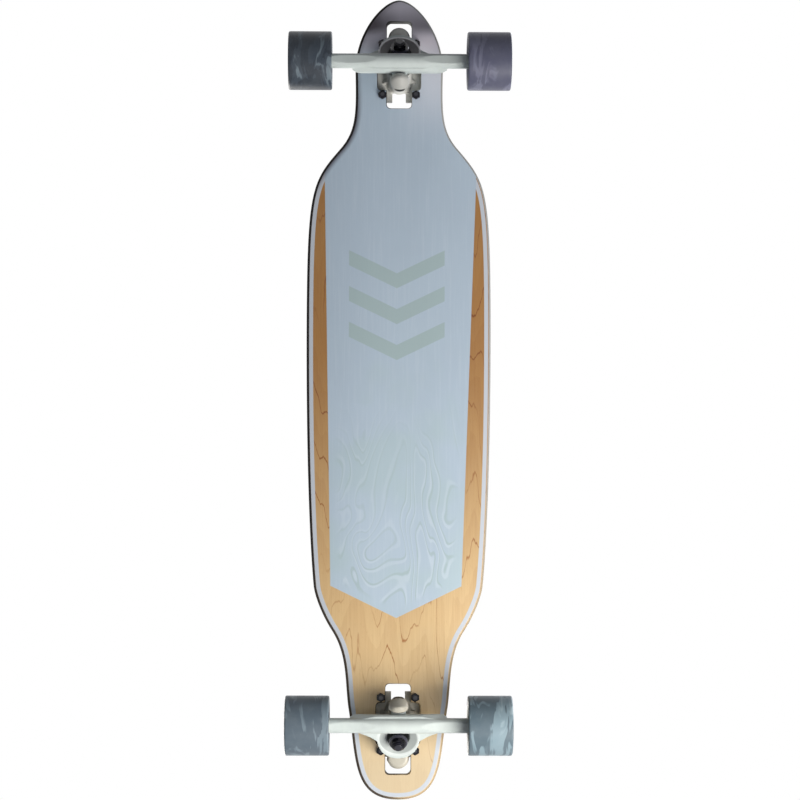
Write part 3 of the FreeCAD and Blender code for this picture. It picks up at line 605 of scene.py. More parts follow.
@dataclass(frozen=True)
class SwirlFinish(Finish):
    """Poured urethane of three tones, stirred into streaks that run round the wheel."""

    dark: str
    middle: str
    light: str
    lip_shade_to_y: float = 0.0
    dust: str = "#C3CACC"
    lip_shade: str = "#15161C"
    lip_shade_share: float = 0.9
    lip_shade_soft: float = 0.0010
    streak: Triple = (16.0, 50.0, 16.0)
    stir: float = 2.6
    folds: float = 24.0

    def build(self, effects: SharedEffects) -> bpy.types.Material:
        """Make the material.

        Args:
            effects: The shared shader groups.

        Returns:
            The finished material.
        """
        material, s, shader = self.start()
        at = s.place()
        laid = s.stretch(at, self.streak)
        stirred = s.noise(laid, 0.55, gives="Color")
        moved = s.vector("MULTIPLY_ADD", stirred, (self.stir, self.stir, self.stir), laid)
        pour = s.noise(moved, 0.62, 4.0, 0.55, 0.4)
        fold = s.plus(s.times(s.math("SINE", s.times(pour, self.folds)), 0.5), 0.5)
        fold = s.times(fold, s.step(s.noise(moved, 0.35), 0.32, 0.66, 0.35, 1.0))
        tone = s.ramp(fold, [(0.0, self.dark), (0.18, self.dark), (0.42, self.middle), (0.72, self.middle),
                             (1.0, self.light)])
        wear = effects.wear(s, at, grain_scale=700.0, roughness=0.40, spread=0.12)
        tone = s.mix(s.times(wear.outputs["Shade"], 0.10), tone, paint(self.dust))
        # Painted shade on the inner lip and face of the wheel.
        if self.lip_shade_to_y:
            lit_from_y = self.lip_shade_to_y + self.lip_shade_soft
            inner = s.step(s.split(at)[1], self.lip_shade_to_y, lit_from_y, self.lip_shade_share, 0.0)
            tone = s.mix(inner, tone, paint(self.lip_shade))
        s.feed(shader.inputs["Base Color"], tone)
        s.feed(shader.inputs["Roughness"], wear.outputs["Dull"])
        s.feed(shader.inputs["Normal"], s.bump(wear.outputs["Grain"], 0.00003))
        shader.inputs["Specular IOR Level"].default_value = 0.28
        return material


@dataclass(frozen=True)
class PrintAndLightLayout:
    """Where the print, and the painted light and shade, lie on the deck's underside, in metres.

    The panel's sides are offsets and slopes along X. A pair is the span over which a tone comes or goes.
    Left and right are as seen from below with the nose up, so left is where Y is negative.
    """

    centre_y: float = -0.0024
    tip_x: float = -0.2709
    tip_slope: float = 0.4855
    left_offset: float = 0.0822
    left_slope: float = 0.0177
    right_offset: float = 0.0764
    right_slope: float = 0.0370
    sides_from_x: float = -0.2324
    stripe_near: float = 0.0031
    stripe_far: float = 0.0080
    soft: float = 0.0004
    aged: Pair = (-0.38, 0.10)
    tail: Pair = (-0.46, -0.34)
    pale_rise: Pair = (0.30, 0.42)
    pale_fall: Pair = (0.432, 0.456)
    pale_across: Pair = (-0.02, 0.045)
    warm: Pair = (0.405, 0.445)
    nose_rise: Pair = (0.4385, 0.4560)
    nose_fall: Pair = (0.455, 0.484)
    nose_spread: float = 12.0
    nose_lean: float = 5.5
    left_half: Pair = (-0.02, 0.02)
    waist_rise: Pair = (0.235, 0.285)
    waist_fall: Pair = (0.33, 0.40)
    waist_inset: Pair = (0.002, 0.0095)
    rail_inset: Pair = (0.0020, 0.0026)
    rail_wider_left: float = 0.0008
    shaded_rail: Pair = (-0.36, -0.10)
    lit_rail: Pair = (-0.36, 0.05)
    cut_inset: Pair = (0.010, 0.013)
    chevron_pitch: float = 0.044
    chevron_shift: float = 0.016
    chevron_bar: Pair = (0.30, 0.75)
    chevron_bar_soft: float = 0.03
    chevron_zone: Pair = (0.0272, 0.1600)
    chevron_half: float = 0.0580
    chevron_soft: float = 0.0008
    contour_rings: float = 15.0
    contour_fade: Pair = (-0.12, 0.01)
    contour_inset: Pair = (0.006, 0.016)
    wash_fade: Pair = (-0.02, 0.10)


@dataclass(frozen=True)
class DeckFinish(Finish):
    """Lacquered maple with a printed panel and border, and the plies showing on its edges; painted light and
    shade lie on the nose, the left waist and the rails.
    """

    layout: PrintAndLightLayout = PrintAndLightLayout()
    light_wood: str = "#DBC08F"
    dark_wood: str = "#A06C38"
    aged_wood: str = "#BD9F78"
    tail_wood: str = "#C6BA9F"
    panel: str = "#AFC1D0"
    panel_cloud: str = "#A3B4C4"
    panel_streak: str = "#D2DCE4"
    panel_mark: str = "#9BB0AE"
    panel_wash: str = "#A9BFC2"
    panel_line: str = "#C6D4DE"
    border: str = "#BDC5CE"
    painted_shade: str = "#372D3A"
    nose_light: str = "#DADEE8"
    nose_painted_light: str = "#EEE2EC"
    shaded_rail: str = "#1E1C1C"
    shaded_rail_tail: str = "#4C443C"
    lit_rail: str = "#A6A7A4"
    lit_rail_tail: str = "#AC9878"
    cut_wall: str = "#6A4C40"
    ply_pale: str = "#B08B5E"
    ply_deep: str = "#86633E"
    ply_streak: str = "#6E4E30"
    glue: str = "#442E1C"
    dulled: str = "#8C8C90"
    plies: int = 8

    def build(self, effects: SharedEffects) -> bpy.types.Material:
        """Make the material.

        Args:
            effects: The shared shader groups.

        Returns:
            The finished material.
        """
        lay = self.layout
        material, s, shader = self.start()
        at = s.place()
        x, y, _ = s.split(at)
        inset, height, _ = s.split(s.node("ShaderNodeUVMap", uv_map="surface").outputs[0])
        wood = s.node("ShaderNodeGroup", node_tree=effects.veneer)
        s.feed(wood.inputs["Position"], at)
        set_plain(wood, {"Light Wood": paint(self.light_wood), "Dark Wood": paint(self.dark_wood)})

        panel, inner = self._panel_mask(s, x, y)
        border = self._border_mask(s, inset)
        left = s.step(y, *lay.left_half, 1.0, 0.0)
        bare = s.mix(s.step(x, *lay.aged), wood.outputs["Colour"], paint(self.aged_wood), "MULTIPLY")
        bare = s.mix(s.step(x, *lay.tail, 0.60, 0.0), bare, paint(self.tail_wood))
        tone = s.mix(border, bare, paint(self.border))
        tone = s.mix(panel, tone, self._panel_tone(s, at, x, y, inner))
        tone = self._nose_light_and_shade(s, x, y, tone)
        # Painted shade along the left edge of the waist.
        waist = s.times(left, s.between(x, lay.waist_rise, lay.waist_fall, 0.35))
        tone = s.mix(s.times(s.step(inset, *lay.waist_inset, 0.9, 0.0), waist), tone, paint(self.painted_shade))
        # The lower rail takes painted shade on the left, in a wider band, and painted light on the right.
        rim = s.minus(inset, s.times(left, lay.rail_wider_left))
        edge = s.math("MAXIMUM", s.step(height, 0.02, 0.05), s.step(rim, *lay.rail_inset, 1.0, 0.0))
        tone = s.mix(edge, tone, self._side_tone(s, at, x, inset, height, left))

        wear = effects.wear(s, at, roughness=0.34, spread=0.06)
        tone = s.mix(s.times(wear.outputs["Shade"], 0.05), tone, paint(self.dulled))
        s.feed(shader.inputs["Base Color"], tone)
        s.feed(shader.inputs["Roughness"], s.math("MAXIMUM", wear.outputs["Dull"], s.times(edge, 0.95)))
        printed = s.math("MAXIMUM", panel, border)
        pores = s.times(wood.outputs["Height"], s.step(printed, 0.0, 1.0, 1.0, 0.35))
        s.feed(shader.inputs["Normal"], s.bump(s.plus(pores, s.times(printed, 0.6)), 0.00006))
        s.feed(shader.inputs["Coat Weight"], s.times(s.minus(1.0, edge), 0.2))
        set_plain(shader, {"Specular IOR Level": 0.3, "Coat Roughness": 0.22})
        return material

    def _panel_mask(self, s: Sketch, x: Any, y: Any) -> tuple[Any, Any]:
        """Find the panel: between its two side lines and above its pointed end.

        Args:
            s: The material's sketch.
            x: Place along the board.
            y: Place across the board.

        Returns:
            The panel's mask, and how far a point is inside the nearest panel edge.
        """
        lay = self.layout
        along = s.minus(x, lay.sides_from_x)
        left = s.plus(s.plus(y, lay.left_offset), s.times(along, lay.left_slope))
        right = s.minus(s.plus(s.times(along, lay.right_slope), lay.right_offset), y)
        end = s.minus(s.minus(x, lay.tip_x), s.times(s.apart(y, lay.centre_y), lay.tip_slope))
        inner = s.math("MINIMUM", s.math("MINIMUM", left, right), end)
        return s.step(inner, -lay.soft, lay.soft), inner

    def _border_mask(self, s: Sketch, inset: Any) -> Any:
        """Find the border: a stripe at a steady distance from the outline."""
        lay = self.layout
        return s.between(inset, (lay.stripe_near - lay.soft, lay.stripe_near + lay.soft),
                         (lay.stripe_far - lay.soft, lay.stripe_far + lay.soft))

    def _nose_light_and_shade(self, s: Sketch, x: Any, y: Any, tone: Any) -> Any:
        """Paint light and shade on the nose: a painted highlight on one side, a warm painted light, then
        painted shadow.

        The painted shadow deepens to both sides, more to the left as seen from below, and eases off at the
        tip.

        Args:
            s: The material's sketch.
            x: Place along the board.
            y: Place across the board.
            tone: The print's tone there.

        Returns:
            The changed tone.
        """
        lay = self.layout
        # Painted highlight on one side of the nose, with a warm painted light over the nose beyond it.
        pale = s.times(s.between(x, lay.pale_rise, lay.pale_fall), s.step(y, *lay.pale_across))
        tone = s.mix(pale, tone, paint(self.nose_light))
        tone = s.mix(s.step(x, *lay.warm, 0.0, 0.6), tone, paint(self.nose_painted_light))
        # Painted shadow past the front truck, deepest to the sides and easing off at the tip.
        spread = s.minus(s.times(s.math("ABSOLUTE", y), lay.nose_spread), s.times(y, lay.nose_lean))
        dark = s.times(s.between(x, lay.nose_rise, lay.nose_fall, 0.36), s.plus(0.50, spread), clamp=True)
        return s.mix(dark, tone, paint(self.painted_shade))

    def _panel_tone(self, s: Sketch, at: Any, x: Any, y: Any, inner: Any) -> Any:
        """Tone the panel: a clouded ground with faint streaks, nested chevrons and soft contour lines.

        Args:
            s: The material's sketch.
            at: Place on the board.
            x: Place along the board.
            y: Place across the board.
            inner: How far a point is inside the panel.

        Returns:
            The panel's colour.
        """
        lay = self.layout
        cloud = s.streaks(at, (5.0, 9.0, 3.0), 3.0)
        streak = s.streaks(at, (14.0, 420.0, 20.0), roughness=0.6)
        tone = s.mix(s.step(cloud, 0.3, 0.7, 0.0, 0.35), paint(self.panel), paint(self.panel_cloud))
        tone = s.mix(s.step(streak, 0.45, 0.8, 0.0, 0.16), tone, paint(self.panel_streak))
        wash = s.step(s.streaks(at, (13.0, 13.0, 3.0), shift=(0.0, 3.0, 0.0)), 0.42, 0.66, 0.0, 0.5)
        tone = s.mix(s.times(wash, s.step(x, *lay.wash_fade, 1.0, 0.0)), tone, paint(self.panel_wash))

        off = s.apart(y, lay.centre_y)
        fold = s.plus(x, s.times(off, -lay.tip_slope))
        beat = s.math("FRACT", s.times(s.plus(fold, lay.chevron_shift), 1 / lay.chevron_pitch))
        (first, last), soft = lay.chevron_bar, lay.chevron_bar_soft
        bar = s.between(beat, (first, first + soft), (last - soft, last))
        (first, last), soft = lay.chevron_zone, lay.chevron_soft
        zone = s.between(fold, (first, first + soft), (last - soft, last))
        narrow = s.step(off, lay.chevron_half, lay.chevron_half + soft, 1.0, 0.0)
        tone = s.mix(s.times(s.times(bar, zone), s.times(narrow, 0.75)), tone, paint(self.panel_mark))

        hills = s.streaks(at, (6.0, 15.0, 3.0), 2.2, 0.45, (1.7, 0.4, 0.0), 0.6)
        ring = s.math("FRACT", s.times(hills, lay.contour_rings))
        cut = s.step(s.apart(ring, 0.40), 0.03, 0.12, 1.0, 0.0)
        lit = s.step(s.apart(ring, 0.60), 0.04, 0.16, 1.0, 0.0)
        region = s.times(s.step(x, *lay.contour_fade, 1.0, 0.0), s.step(inner, *lay.contour_inset))
        region = s.times(region, s.step(s.streaks(at, (9.0, 16.0, 3.0), 1.0), 0.35, 0.62, 0.4, 0.85))
        tone = s.mix(s.times(s.times(cut, region), 0.60), tone, paint(self.panel_mark))
        return s.mix(s.times(s.times(lit, region), 0.50), tone, paint(self.panel_line))

    def _side_tone(self, s: Sketch, at: Any, x: Any, inset: Any, height: Any, left: Any) -> Any:
        """Tone the edges: a lower rail in painted shade on one side and painted light on the other, bare
        cut-out walls, and plies above.

        Args:
            s: The material's sketch.
            at: Place on the board.
            x: Place along the board.
            inset: How far a point is from the outline.
            height: 0 at the underside and 1 at the top.
            left: 1 on the side whose rail is painted in shade.

        Returns:
            The edges' colour.
        """
        lay = self.layout
        # Painted shade on the left rail and painted light on the right, each changing towards the tail.
        dark = s.mix(s.step(x, *lay.shaded_rail), paint(self.shaded_rail_tail), paint(self.shaded_rail))
        lit = s.mix(s.step(x, *lay.lit_rail), paint(self.lit_rail_tail), paint(self.lit_rail))
        rail = s.mix(s.step(inset, *lay.cut_inset), s.mix(left, lit, dark), paint(self.cut_wall))
        count = s.times(height, float(self.plies))
        odd = s.math("GREATER_THAN", s.math("MODULO", count, 2.0), 1.0)
        joint = s.step(s.apart(s.math("FRACT", count), 0.5), 0.40, 0.48)
        streak = s.streaks(at, (30.0, 30.0, 1600.0), 3.0, 0.6)
        ply = s.mix(s.times(odd, 0.55), paint(self.ply_pale), paint(self.ply_deep))
        ply = s.mix(s.step(streak, 0.35, 0.75, 0.0, 0.4), ply, paint(self.ply_streak))
        ply = s.mix(s.times(joint, 0.6), ply, paint(self.glue))
        return s.mix(s.step(height, 0.26, 0.34, 1.0, 0.0), ply, rail)


@dataclass(frozen=True)
class FloorFinish(Finish):
    """A pale matt floor that fades out all round, and never hides the underside from below."""

    pale: str = "#F4F4F2"
    patch: str = "#EDEDEB"
    fade: Pair = (0.55, 1.5)

    def build(self) -> bpy.types.Material:
        """Make the material.

        Returns:
            The finished material.
        """
        material, s, shader = self.start()
        patchy = s.step(s.noise(s.place(), 3.0, 3.0), 0.3, 0.7, 0.0, 0.3)
        s.feed(shader.inputs["Base Color"], s.mix(patchy, paint(self.pale), paint(self.patch)))
        set_plain(shader, {"Roughness": 0.9, "Specular IOR Level": 0.1})
        above = s.minus(1.0, s.node("ShaderNodeNewGeometry").outputs["Backfacing"])
        seen = s.times(s.node("ShaderNodeLightPath").outputs["Is Camera Ray"], above)
        far = s.vector("LENGTH", s.stretch(s.place(), (0.8, 1.2, 1.0)), gives="Value")
        seen = s.times(seen, s.step(far, *self.fade, 1.0, 0.0))
        blend = s.node("ShaderNodeMixShader")
        s.feed(blend.inputs[0], seen)
        s.feed(blend.inputs[1], s.node("ShaderNodeBsdfTransparent").outputs[0])
        s.feed(blend.inputs[2], shader.outputs[0])
        s.feed(material.node_tree.nodes["Material Output"].inputs[0], blend.outputs[0])
        return material


@dataclass(frozen=True)
class Knot:
    """A place on the deck's half outline, in mm, with the way it runs there and how hard it pulls."""

    x: float
    half: float
    way: tuple[float, float]
    pull_in: float
    pull_out: float


@dataclass
class Deck:
    """The laminated deck: outline, dished section, eased rails and the two truck cut-outs."""

    knots: tuple[Knot, ...] = (
        Knot(488.0, 0.0, (0.0, 1.0), 0.0, 20.2),
        Knot(399.3, 53.8, (-1.0, -0.022), 47.9, 51.3),
        Knot(302.9, 71.7, (-1.0, 0.863), 29.7, 53.8),
        Knot(89.0, 112.6, (-1.0, 0.0), 167.4, 124.2),
        Knot(-231.7, 102.5, (-1.0, -0.096), 70.2, 13.0),
        Knot(-286.0, 80.1, (-1.0, -0.654), 21.2, 36.4),
        Knot(-380.9, 59.4, (-1.0, -0.161), 31.2, 59.6),
        Knot(-488.0, 0.0, (0.0, -1.0), 54.8, 0.0),
    )
    under_z: float = 0.092
    thickness: float = 0.0105
    flat_half: float = 0.030
    dish_radius: float = 0.560
    rail_round: float = 0.003
    rim_width: float = 0.014
    spine_ends: Pair = (-0.440, 0.446)
    run_steps: int = 240
    half_steps: int = 420
    bend_steps: int = 8
    band_steps: int = 10
    wide_steps: int = 22
    side_steps: int = 6
    truck_x: Pair = (0.4006, -0.3979)
    slot: Triple = (0.048, 0.060, 0.0153)
    window: Triple = (0.0255, 0.0245, 0.0265)
    cut_round: float = 0.006
    cut_ease: float = 0.0009
    cut_ease_deg: Pair = (12.0, 90.0)
    cut_ease_steps: int = 7
    cut_span: Pair = (-0.006, 0.030)

    def outline(self) -> np.ndarray:
        """Walk round the outline from the nose, down the left side and back up the right.

        Each run between two knots is a curve of the third degree, and the half is then cut into equal steps.

        Returns:
            X and Y for each step, in metres.
        """
        t = np.linspace(0, 1, self.run_steps)[:, None]
        runs = []
        for a, b in zip(self.knots, self.knots[1:]):
            start, stop = np.array([a.x, a.half]), np.array([b.x, b.half])
            leave = start + np.array(a.way) / np.hypot(*a.way) * a.pull_out
            reach = stop - np.array(b.way) / np.hypot(*b.way) * b.pull_in
            pulled = 3 * (1 - t) ** 2 * t * leave + 3 * (1 - t) * t ** 2 * reach
            runs.append((1 - t) ** 3 * start + pulled + t ** 3 * stop)
        walk = np.concatenate(runs) * MM
        far = np.concatenate([[0.0], np.cumsum(np.hypot(*np.diff(walk, axis=0).T))])
        even = np.linspace(0, far[-1], self.half_steps)
        left = np.stack([np.interp(even, far, walk[:, 0]), np.interp(even, far, walk[:, 1])], axis=1)
        right = left[-2:0:-1] * np.array([1.0, -1.0])
        return np.concatenate([left, right])

    def level(self, y: np.ndarray, share: np.ndarray) -> np.ndarray:
        """Height of the deck across its width.

        The middle is flat, and each rail rises on an arc about one centre line, so the thickness is kept.

        Args:
            y: Places across the board.
            share: 0 for the underside and 1 for the top.

        Returns:
            Heights in metres.
        """
        out = np.maximum(np.abs(y) - self.flat_half, 0.0)
        low = self.dish_radius - np.sqrt(self.dish_radius ** 2 - out ** 2)
        top_r = self.dish_radius - self.thickness
        high = self.dish_radius - np.sqrt(top_r ** 2 - out ** 2)
        return self.under_z + low * (1 - share) + high * share

    def build(self, material: bpy.types.Material) -> bpy.types.Object:
        """Make the deck as one skin over the outline, and open its cut-outs.

        Args:
            material: The deck's finish.

        Returns:
            The finished piece, which stands for the deck's solid.
        """
        rim = self.outline()
        ahead, behind = np.roll(rim, -1, axis=0), np.roll(rim, 1, axis=0)
        run = (ahead - behind) / np.linalg.norm(ahead - behind, axis=1, keepdims=True)
        outward = np.stack([-run[:, 1], run[:, 0]], axis=1)
        outward *= np.sign(np.sum(outward * rim, axis=1).mean())
        spine = np.stack([np.clip(rim[:, 0], *self.spine_ends), np.zeros(len(rim))], axis=1)

        r = self.rail_round
        bend = np.linspace(0, np.pi / 2, self.bend_steps)
        wide = np.linspace(1, 0, self.wide_steps)
        band = np.linspace(self.rim_width, r, self.band_steps)[1:-1]
        side = np.linspace(0, 1, self.side_steps)[1:-1]
        nil, one = np.zeros_like, np.ones_like
        half_inset = np.concatenate([np.full(len(wide), self.rim_width), band, r * (1 - np.sin(bend))])
        inset = np.concatenate([half_inset, nil(side), half_inset[::-1]])
        pull = np.concatenate([wide, nil(band), nil(bend), nil(side), nil(bend), nil(band), wide[::-1]])
        share = np.concatenate([nil(half_inset), side, one(half_inset)])
        lift = np.concatenate([nil(wide), nil(band), r * (1 - np.cos(bend)), r - 2 * r * side,
                               -r * (1 - np.cos(bend[::-1])), nil(band), nil(wide)])

        flat = rim[:, None, :] - outward[:, None, :] * inset[None, :, None]
        flat = flat + (spine[:, None, :] - flat) * pull[None, :, None]
        low, high = self.level(flat[..., 1], np.float64(0)), self.level(flat[..., 1], np.float64(1))
        z = self.level(flat[..., 1], share[None, :]) + lift[None, :]
        points = np.concatenate([flat, z[..., None]], axis=-1).reshape(-1, 3)
        reach = np.broadcast_to(inset + pull * self.flat_half, z.shape)
        uv = np.stack([reach, (z - low) / (high - low)], axis=-1).reshape(-1, 2)
        piece = grid_piece("deck_laminate", points, grid_faces(len(rim), len(inset), True, False), uv)

        cutters = []
        for end, middle in zip(End, self.truck_x):
            for label, opening in (("slot", self.slot), ("window", self.window)):
                cutters.append(self._cutter(f"cut_{label}_{end.label}", middle, end.facing, opening))
        for cutter in cutters:
            cut = piece.modifiers.new(cutter.name, "BOOLEAN")
            cut.operation, cut.solver, cut.object = "DIFFERENCE", "EXACT", cutter
        bake_modifiers(piece)
        for cutter in cutters:
            bpy.data.objects.remove(cutter)
        shade(piece.data, 50.0)
        dress(piece, material)
        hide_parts("deck")
        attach(piece, "board")
        return piece

    def _cutter(self, name: str, middle: float, facing: float,
                opening: Triple) -> bpy.types.Object:
        """Make the solid that one opening takes out of the deck, flared to ease the opening's lower edge.

        The opening's rounded outline is carried upwards, and grows by ease * (1 - sin a) where it is
        ease * (1 - cos a) above the underside.

        Args:
            name: The cutter's name.
            middle: The truck's place along the board.
            facing: The way the truck faces.
            opening: Its reach towards the board's middle and towards the board's end, and half its width.

        Returns:
            A scratch object, removed after use.
        """
        near, out, half = opening
        corners = np.array([(out, half), (-near, half), (-near, -half), (out, -half)])
        loop = eased_loop(corners, np.full(4, self.cut_round), 10) * facing
        grow = np.sign(loop - loop.mean(axis=0))
        a = np.radians(np.linspace(*self.cut_ease_deg, self.cut_ease_steps))
        e = self.cut_ease
        z = np.concatenate([self.cut_span[:1], e * (1 - np.cos(a)), self.cut_span[1:]]) + self.under_z
        wider = np.concatenate([[e * (1 - np.sin(a[0]))], e * (1 - np.sin(a)), [0.0]])
        ring = loop[None] + grow[None] * wider[:, None, None] + np.array([middle, 0.0])
        solid = np.concatenate([ring, np.broadcast_to(z[:, None, None], ring.shape[:2] + (1,))], -1)
        low, high = (np.broadcast_to(solid[row].mean(axis=0), solid[:1].shape) for row in (0, -1))
        closed = np.concatenate([low, solid, high])
        return grid_piece(name, closed.reshape(-1, 3), grid_faces(len(closed), len(loop), False, True))


@dataclass(frozen=True)
class TruckAxes:
    """Where a truck's kingpin and steering axis lie; they cross squarely in the yoke's middle."""

    end: End
    truck_x: float
    king_out: float = 0.010831
    king_z: float = 0.066378
    axis_deg: float = 35.0

    @property
    def centre(self) -> np.ndarray:
        """The yoke's middle."""
        return np.array((self.truck_x + self.king_out * self.end.facing, 0.0, self.king_z))

    @property
    def line(self) -> np.ndarray:
        """The way along the kingpin, from the road to the board."""
        a = math.radians(self.axis_deg)
        return np.array((-math.sin(a) * self.end.facing, 0.0, math.cos(a)))

    @property
    def inward(self) -> np.ndarray:
        """The way along the steering axis, from the kingpin to the tower's closed end."""
        a = math.radians(self.axis_deg)
        return np.array((-math.cos(a) * self.end.facing, 0.0, -math.sin(a)))


@dataclass(frozen=True)
class Tower:
    """The closed end of a truck's pivot tower, rounded off across the board and hollowed at its rim."""

    axes: TruckAxes
    drop: float
    crown: float
    reach: float = 0.0503
    radius: float = 0.0117
    depth: float = 0.011
    skin: float = 0.0012
    wall_share: Pair = (0.8, 1.04)
    hollow_mid: float = 0.0052
    hollow_radius: float = 0.0064
    hollow_flat: float = 0.0062
    hollow_depth: float = 0.0016

    @property
    def hollow_at(self) -> np.ndarray:
        """The middle of the hollow's disc."""
        return self.axes.centre + self.axes.inward * self.reach + self.axes.line * self.hollow_mid

    def round_off(self, mesh: bpy.types.Mesh) -> None:
        """Make the end's skin a barrel: raised by drop * crown in the middle and lowered towards both sides.

        It is lowered by drop * (y / radius) squared, less the crown, which eases in from the road side.
        The hollow is a half disc at the deck side, pushed back by a steady depth.

        Args:
            mesh: The baseplate's mesh.
        """
        inward = self.axes.inward
        spots = np.empty(len(mesh.vertices) * 3, dtype=np.float32)
        mesh.vertices.foreach_get("co", spots)
        spots = spots.reshape(-1, 3).astype(np.float64)
        along = (spots - self.axes.centre) @ inward
        y, w = spots[:, 1], (spots - self.axes.centre) @ self.axes.line
        share = np.clip((along - self.reach + self.depth) / self.depth, 0.0, 1.0)
        inner, outer = (self.radius * share_of for share_of in self.wall_share)
        round_part = np.hypot(y, w) < outer
        outside = (np.hypot(y, w) > inner) | (along > self.reach - self.skin)
        raised = self.crown * np.clip(1.0 + w / self.radius, 0.0, 1.0)
        push = share * self.drop * ((y / self.radius) ** 2 - raised)
        hollow = (np.hypot(y, w - self.hollow_mid) < self.hollow_radius) & (w > self.hollow_flat)
        push += np.where(hollow & (along > self.reach - 2 * self.hollow_depth), self.hollow_depth, 0.0)
        spots -= np.where(round_part & outside, push, 0.0)[:, None] * inward
        mesh.vertices.foreach_set("co", spots.astype(np.float32).ravel())
        mesh.update()


@dataclass
class Casting:
    """A painted casting: the solid's own form with every edge softened, as it comes out of a mould."""

    node: str
    body: str
    tower: Tower | None = None
    merge: float = 2 * MERGE
    voxel: float = 0.00065
    passes: int = 3

    def build(self, material: bpy.types.Material) -> bpy.types.Object:
        """Remesh a copy of the solid finely and smooth it.

        Args:
            material: The casting's finish.

        Returns:
            The finished piece, which stands for the solid.
        """
        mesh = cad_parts[self.node].data.copy()
        mesh.materials.clear()
        whole = bmesh.new()
        whole.from_mesh(mesh)
        bmesh.ops.remove_doubles(whole, verts=whole.verts, dist=self.merge)
        whole.to_mesh(mesh)
        whole.free()
        piece = bpy.data.objects.new(f"{self.node}_casting", mesh)
        bpy.context.scene.collection.objects.link(piece)
        remesh = piece.modifiers.new("grain_of_mould", "REMESH")
        remesh.mode, remesh.voxel_size, remesh.adaptivity = "VOXEL", self.voxel, 0.0
        soften = piece.modifiers.new("soft_edges", "SMOOTH")
        soften.factor, soften.iterations = 0.5, self.passes
        bake_modifiers(piece)
        if self.tower is not None:
            self.tower.round_off(piece.data)
        shade(piece.data, 180.0)
        dress(piece, material)
        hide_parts(self.node)
        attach(piece, self.body)
        return piece


@dataclass
class Bushings:
    """The two urethane bushings of a truck."""

    axes: TruckAxes
    segments: int = 72
    radius: float = 0.0132
    bore: float = 0.0052
    board_span: Pair = (0.00255, 0.01955)
    road_span: Pair = (-0.00255, -0.01355)
    road_top_radius: float = 0.0098
    road_shoulder: float = 0.0043
    bulge: float = 0.0004
    bulge_from: float = 0.6
    corner_rounds: tuple[float, ...] = (0.0006, 0.0016, 0.004, 0.0016, 0.0006)

    def build(self, material: bpy.types.Material) -> list[bpy.types.Object]:
        """Turn both bushings with soft corners and a slight belly.

        Args:
            material: Their finish.

        Returns:
            The finished pieces, which stand for the two solids.
        """
        origin, line = Vector(self.axes.centre), Vector(self.axes.line)
        label = self.axes.end.label
        r, b, top = self.radius, self.bore, self.road_top_radius
        near, far = self.board_span
        barrel = np.array([(b, near), (r, near), (r, (near + far) / 2), (r, far), (b, far)])
        near, far = self.road_span
        cone = np.array([(b, near), (r, near), (r, near - self.road_shoulder), (top, far), (b, far)])
        made = []
        for part, corners, span in (("board", barrel, self.board_span), ("road", cone, self.road_span)):
            loop = eased_loop(corners, np.array(self.corner_rounds), 8)
            middle = np.interp(loop[:, 1], sorted(span), [-1.0, 1.0])
            outer = loop[:, 0] > r * self.bulge_from
            loop[:, 0] -= np.where(outer, self.bulge * middle ** 2, 0.0)
            piece = turned(f"{label}_{part}_bushing_urethane", loop, origin, line, self.segments)
            dress(piece, material)
            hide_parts(f"{label}_{part}_bushing")
            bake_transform(piece)
            made.append(piece)
        return made


@dataclass
class Hardware:
    """Solids whose own form is right, which only take a finish."""

    finish: bpy.types.Material
    names: tuple[str, ...]

    def dress(self) -> int:
        """Give each named solid its finish.

        Returns:
            How many solids were dressed.
        """
        for name in self.names:
            dress(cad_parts[name], self.finish)
        return len(self.names)


@dataclass(frozen=True)
class TruckLook:
    """Where one truck's paint carries painted shade and highlights, its baseplate's tone, and how far its
    tower is rounded.
    """

    dish_shade_radius: float
    dish_shade_tone: str
    dish_shade_share: float
    rim_highlight_share: float
    plate: str
    plate_dulled: str
    tower_shade_tone: str
    tower_shade_share: float
    tower_drop: float
    tower_crown: float


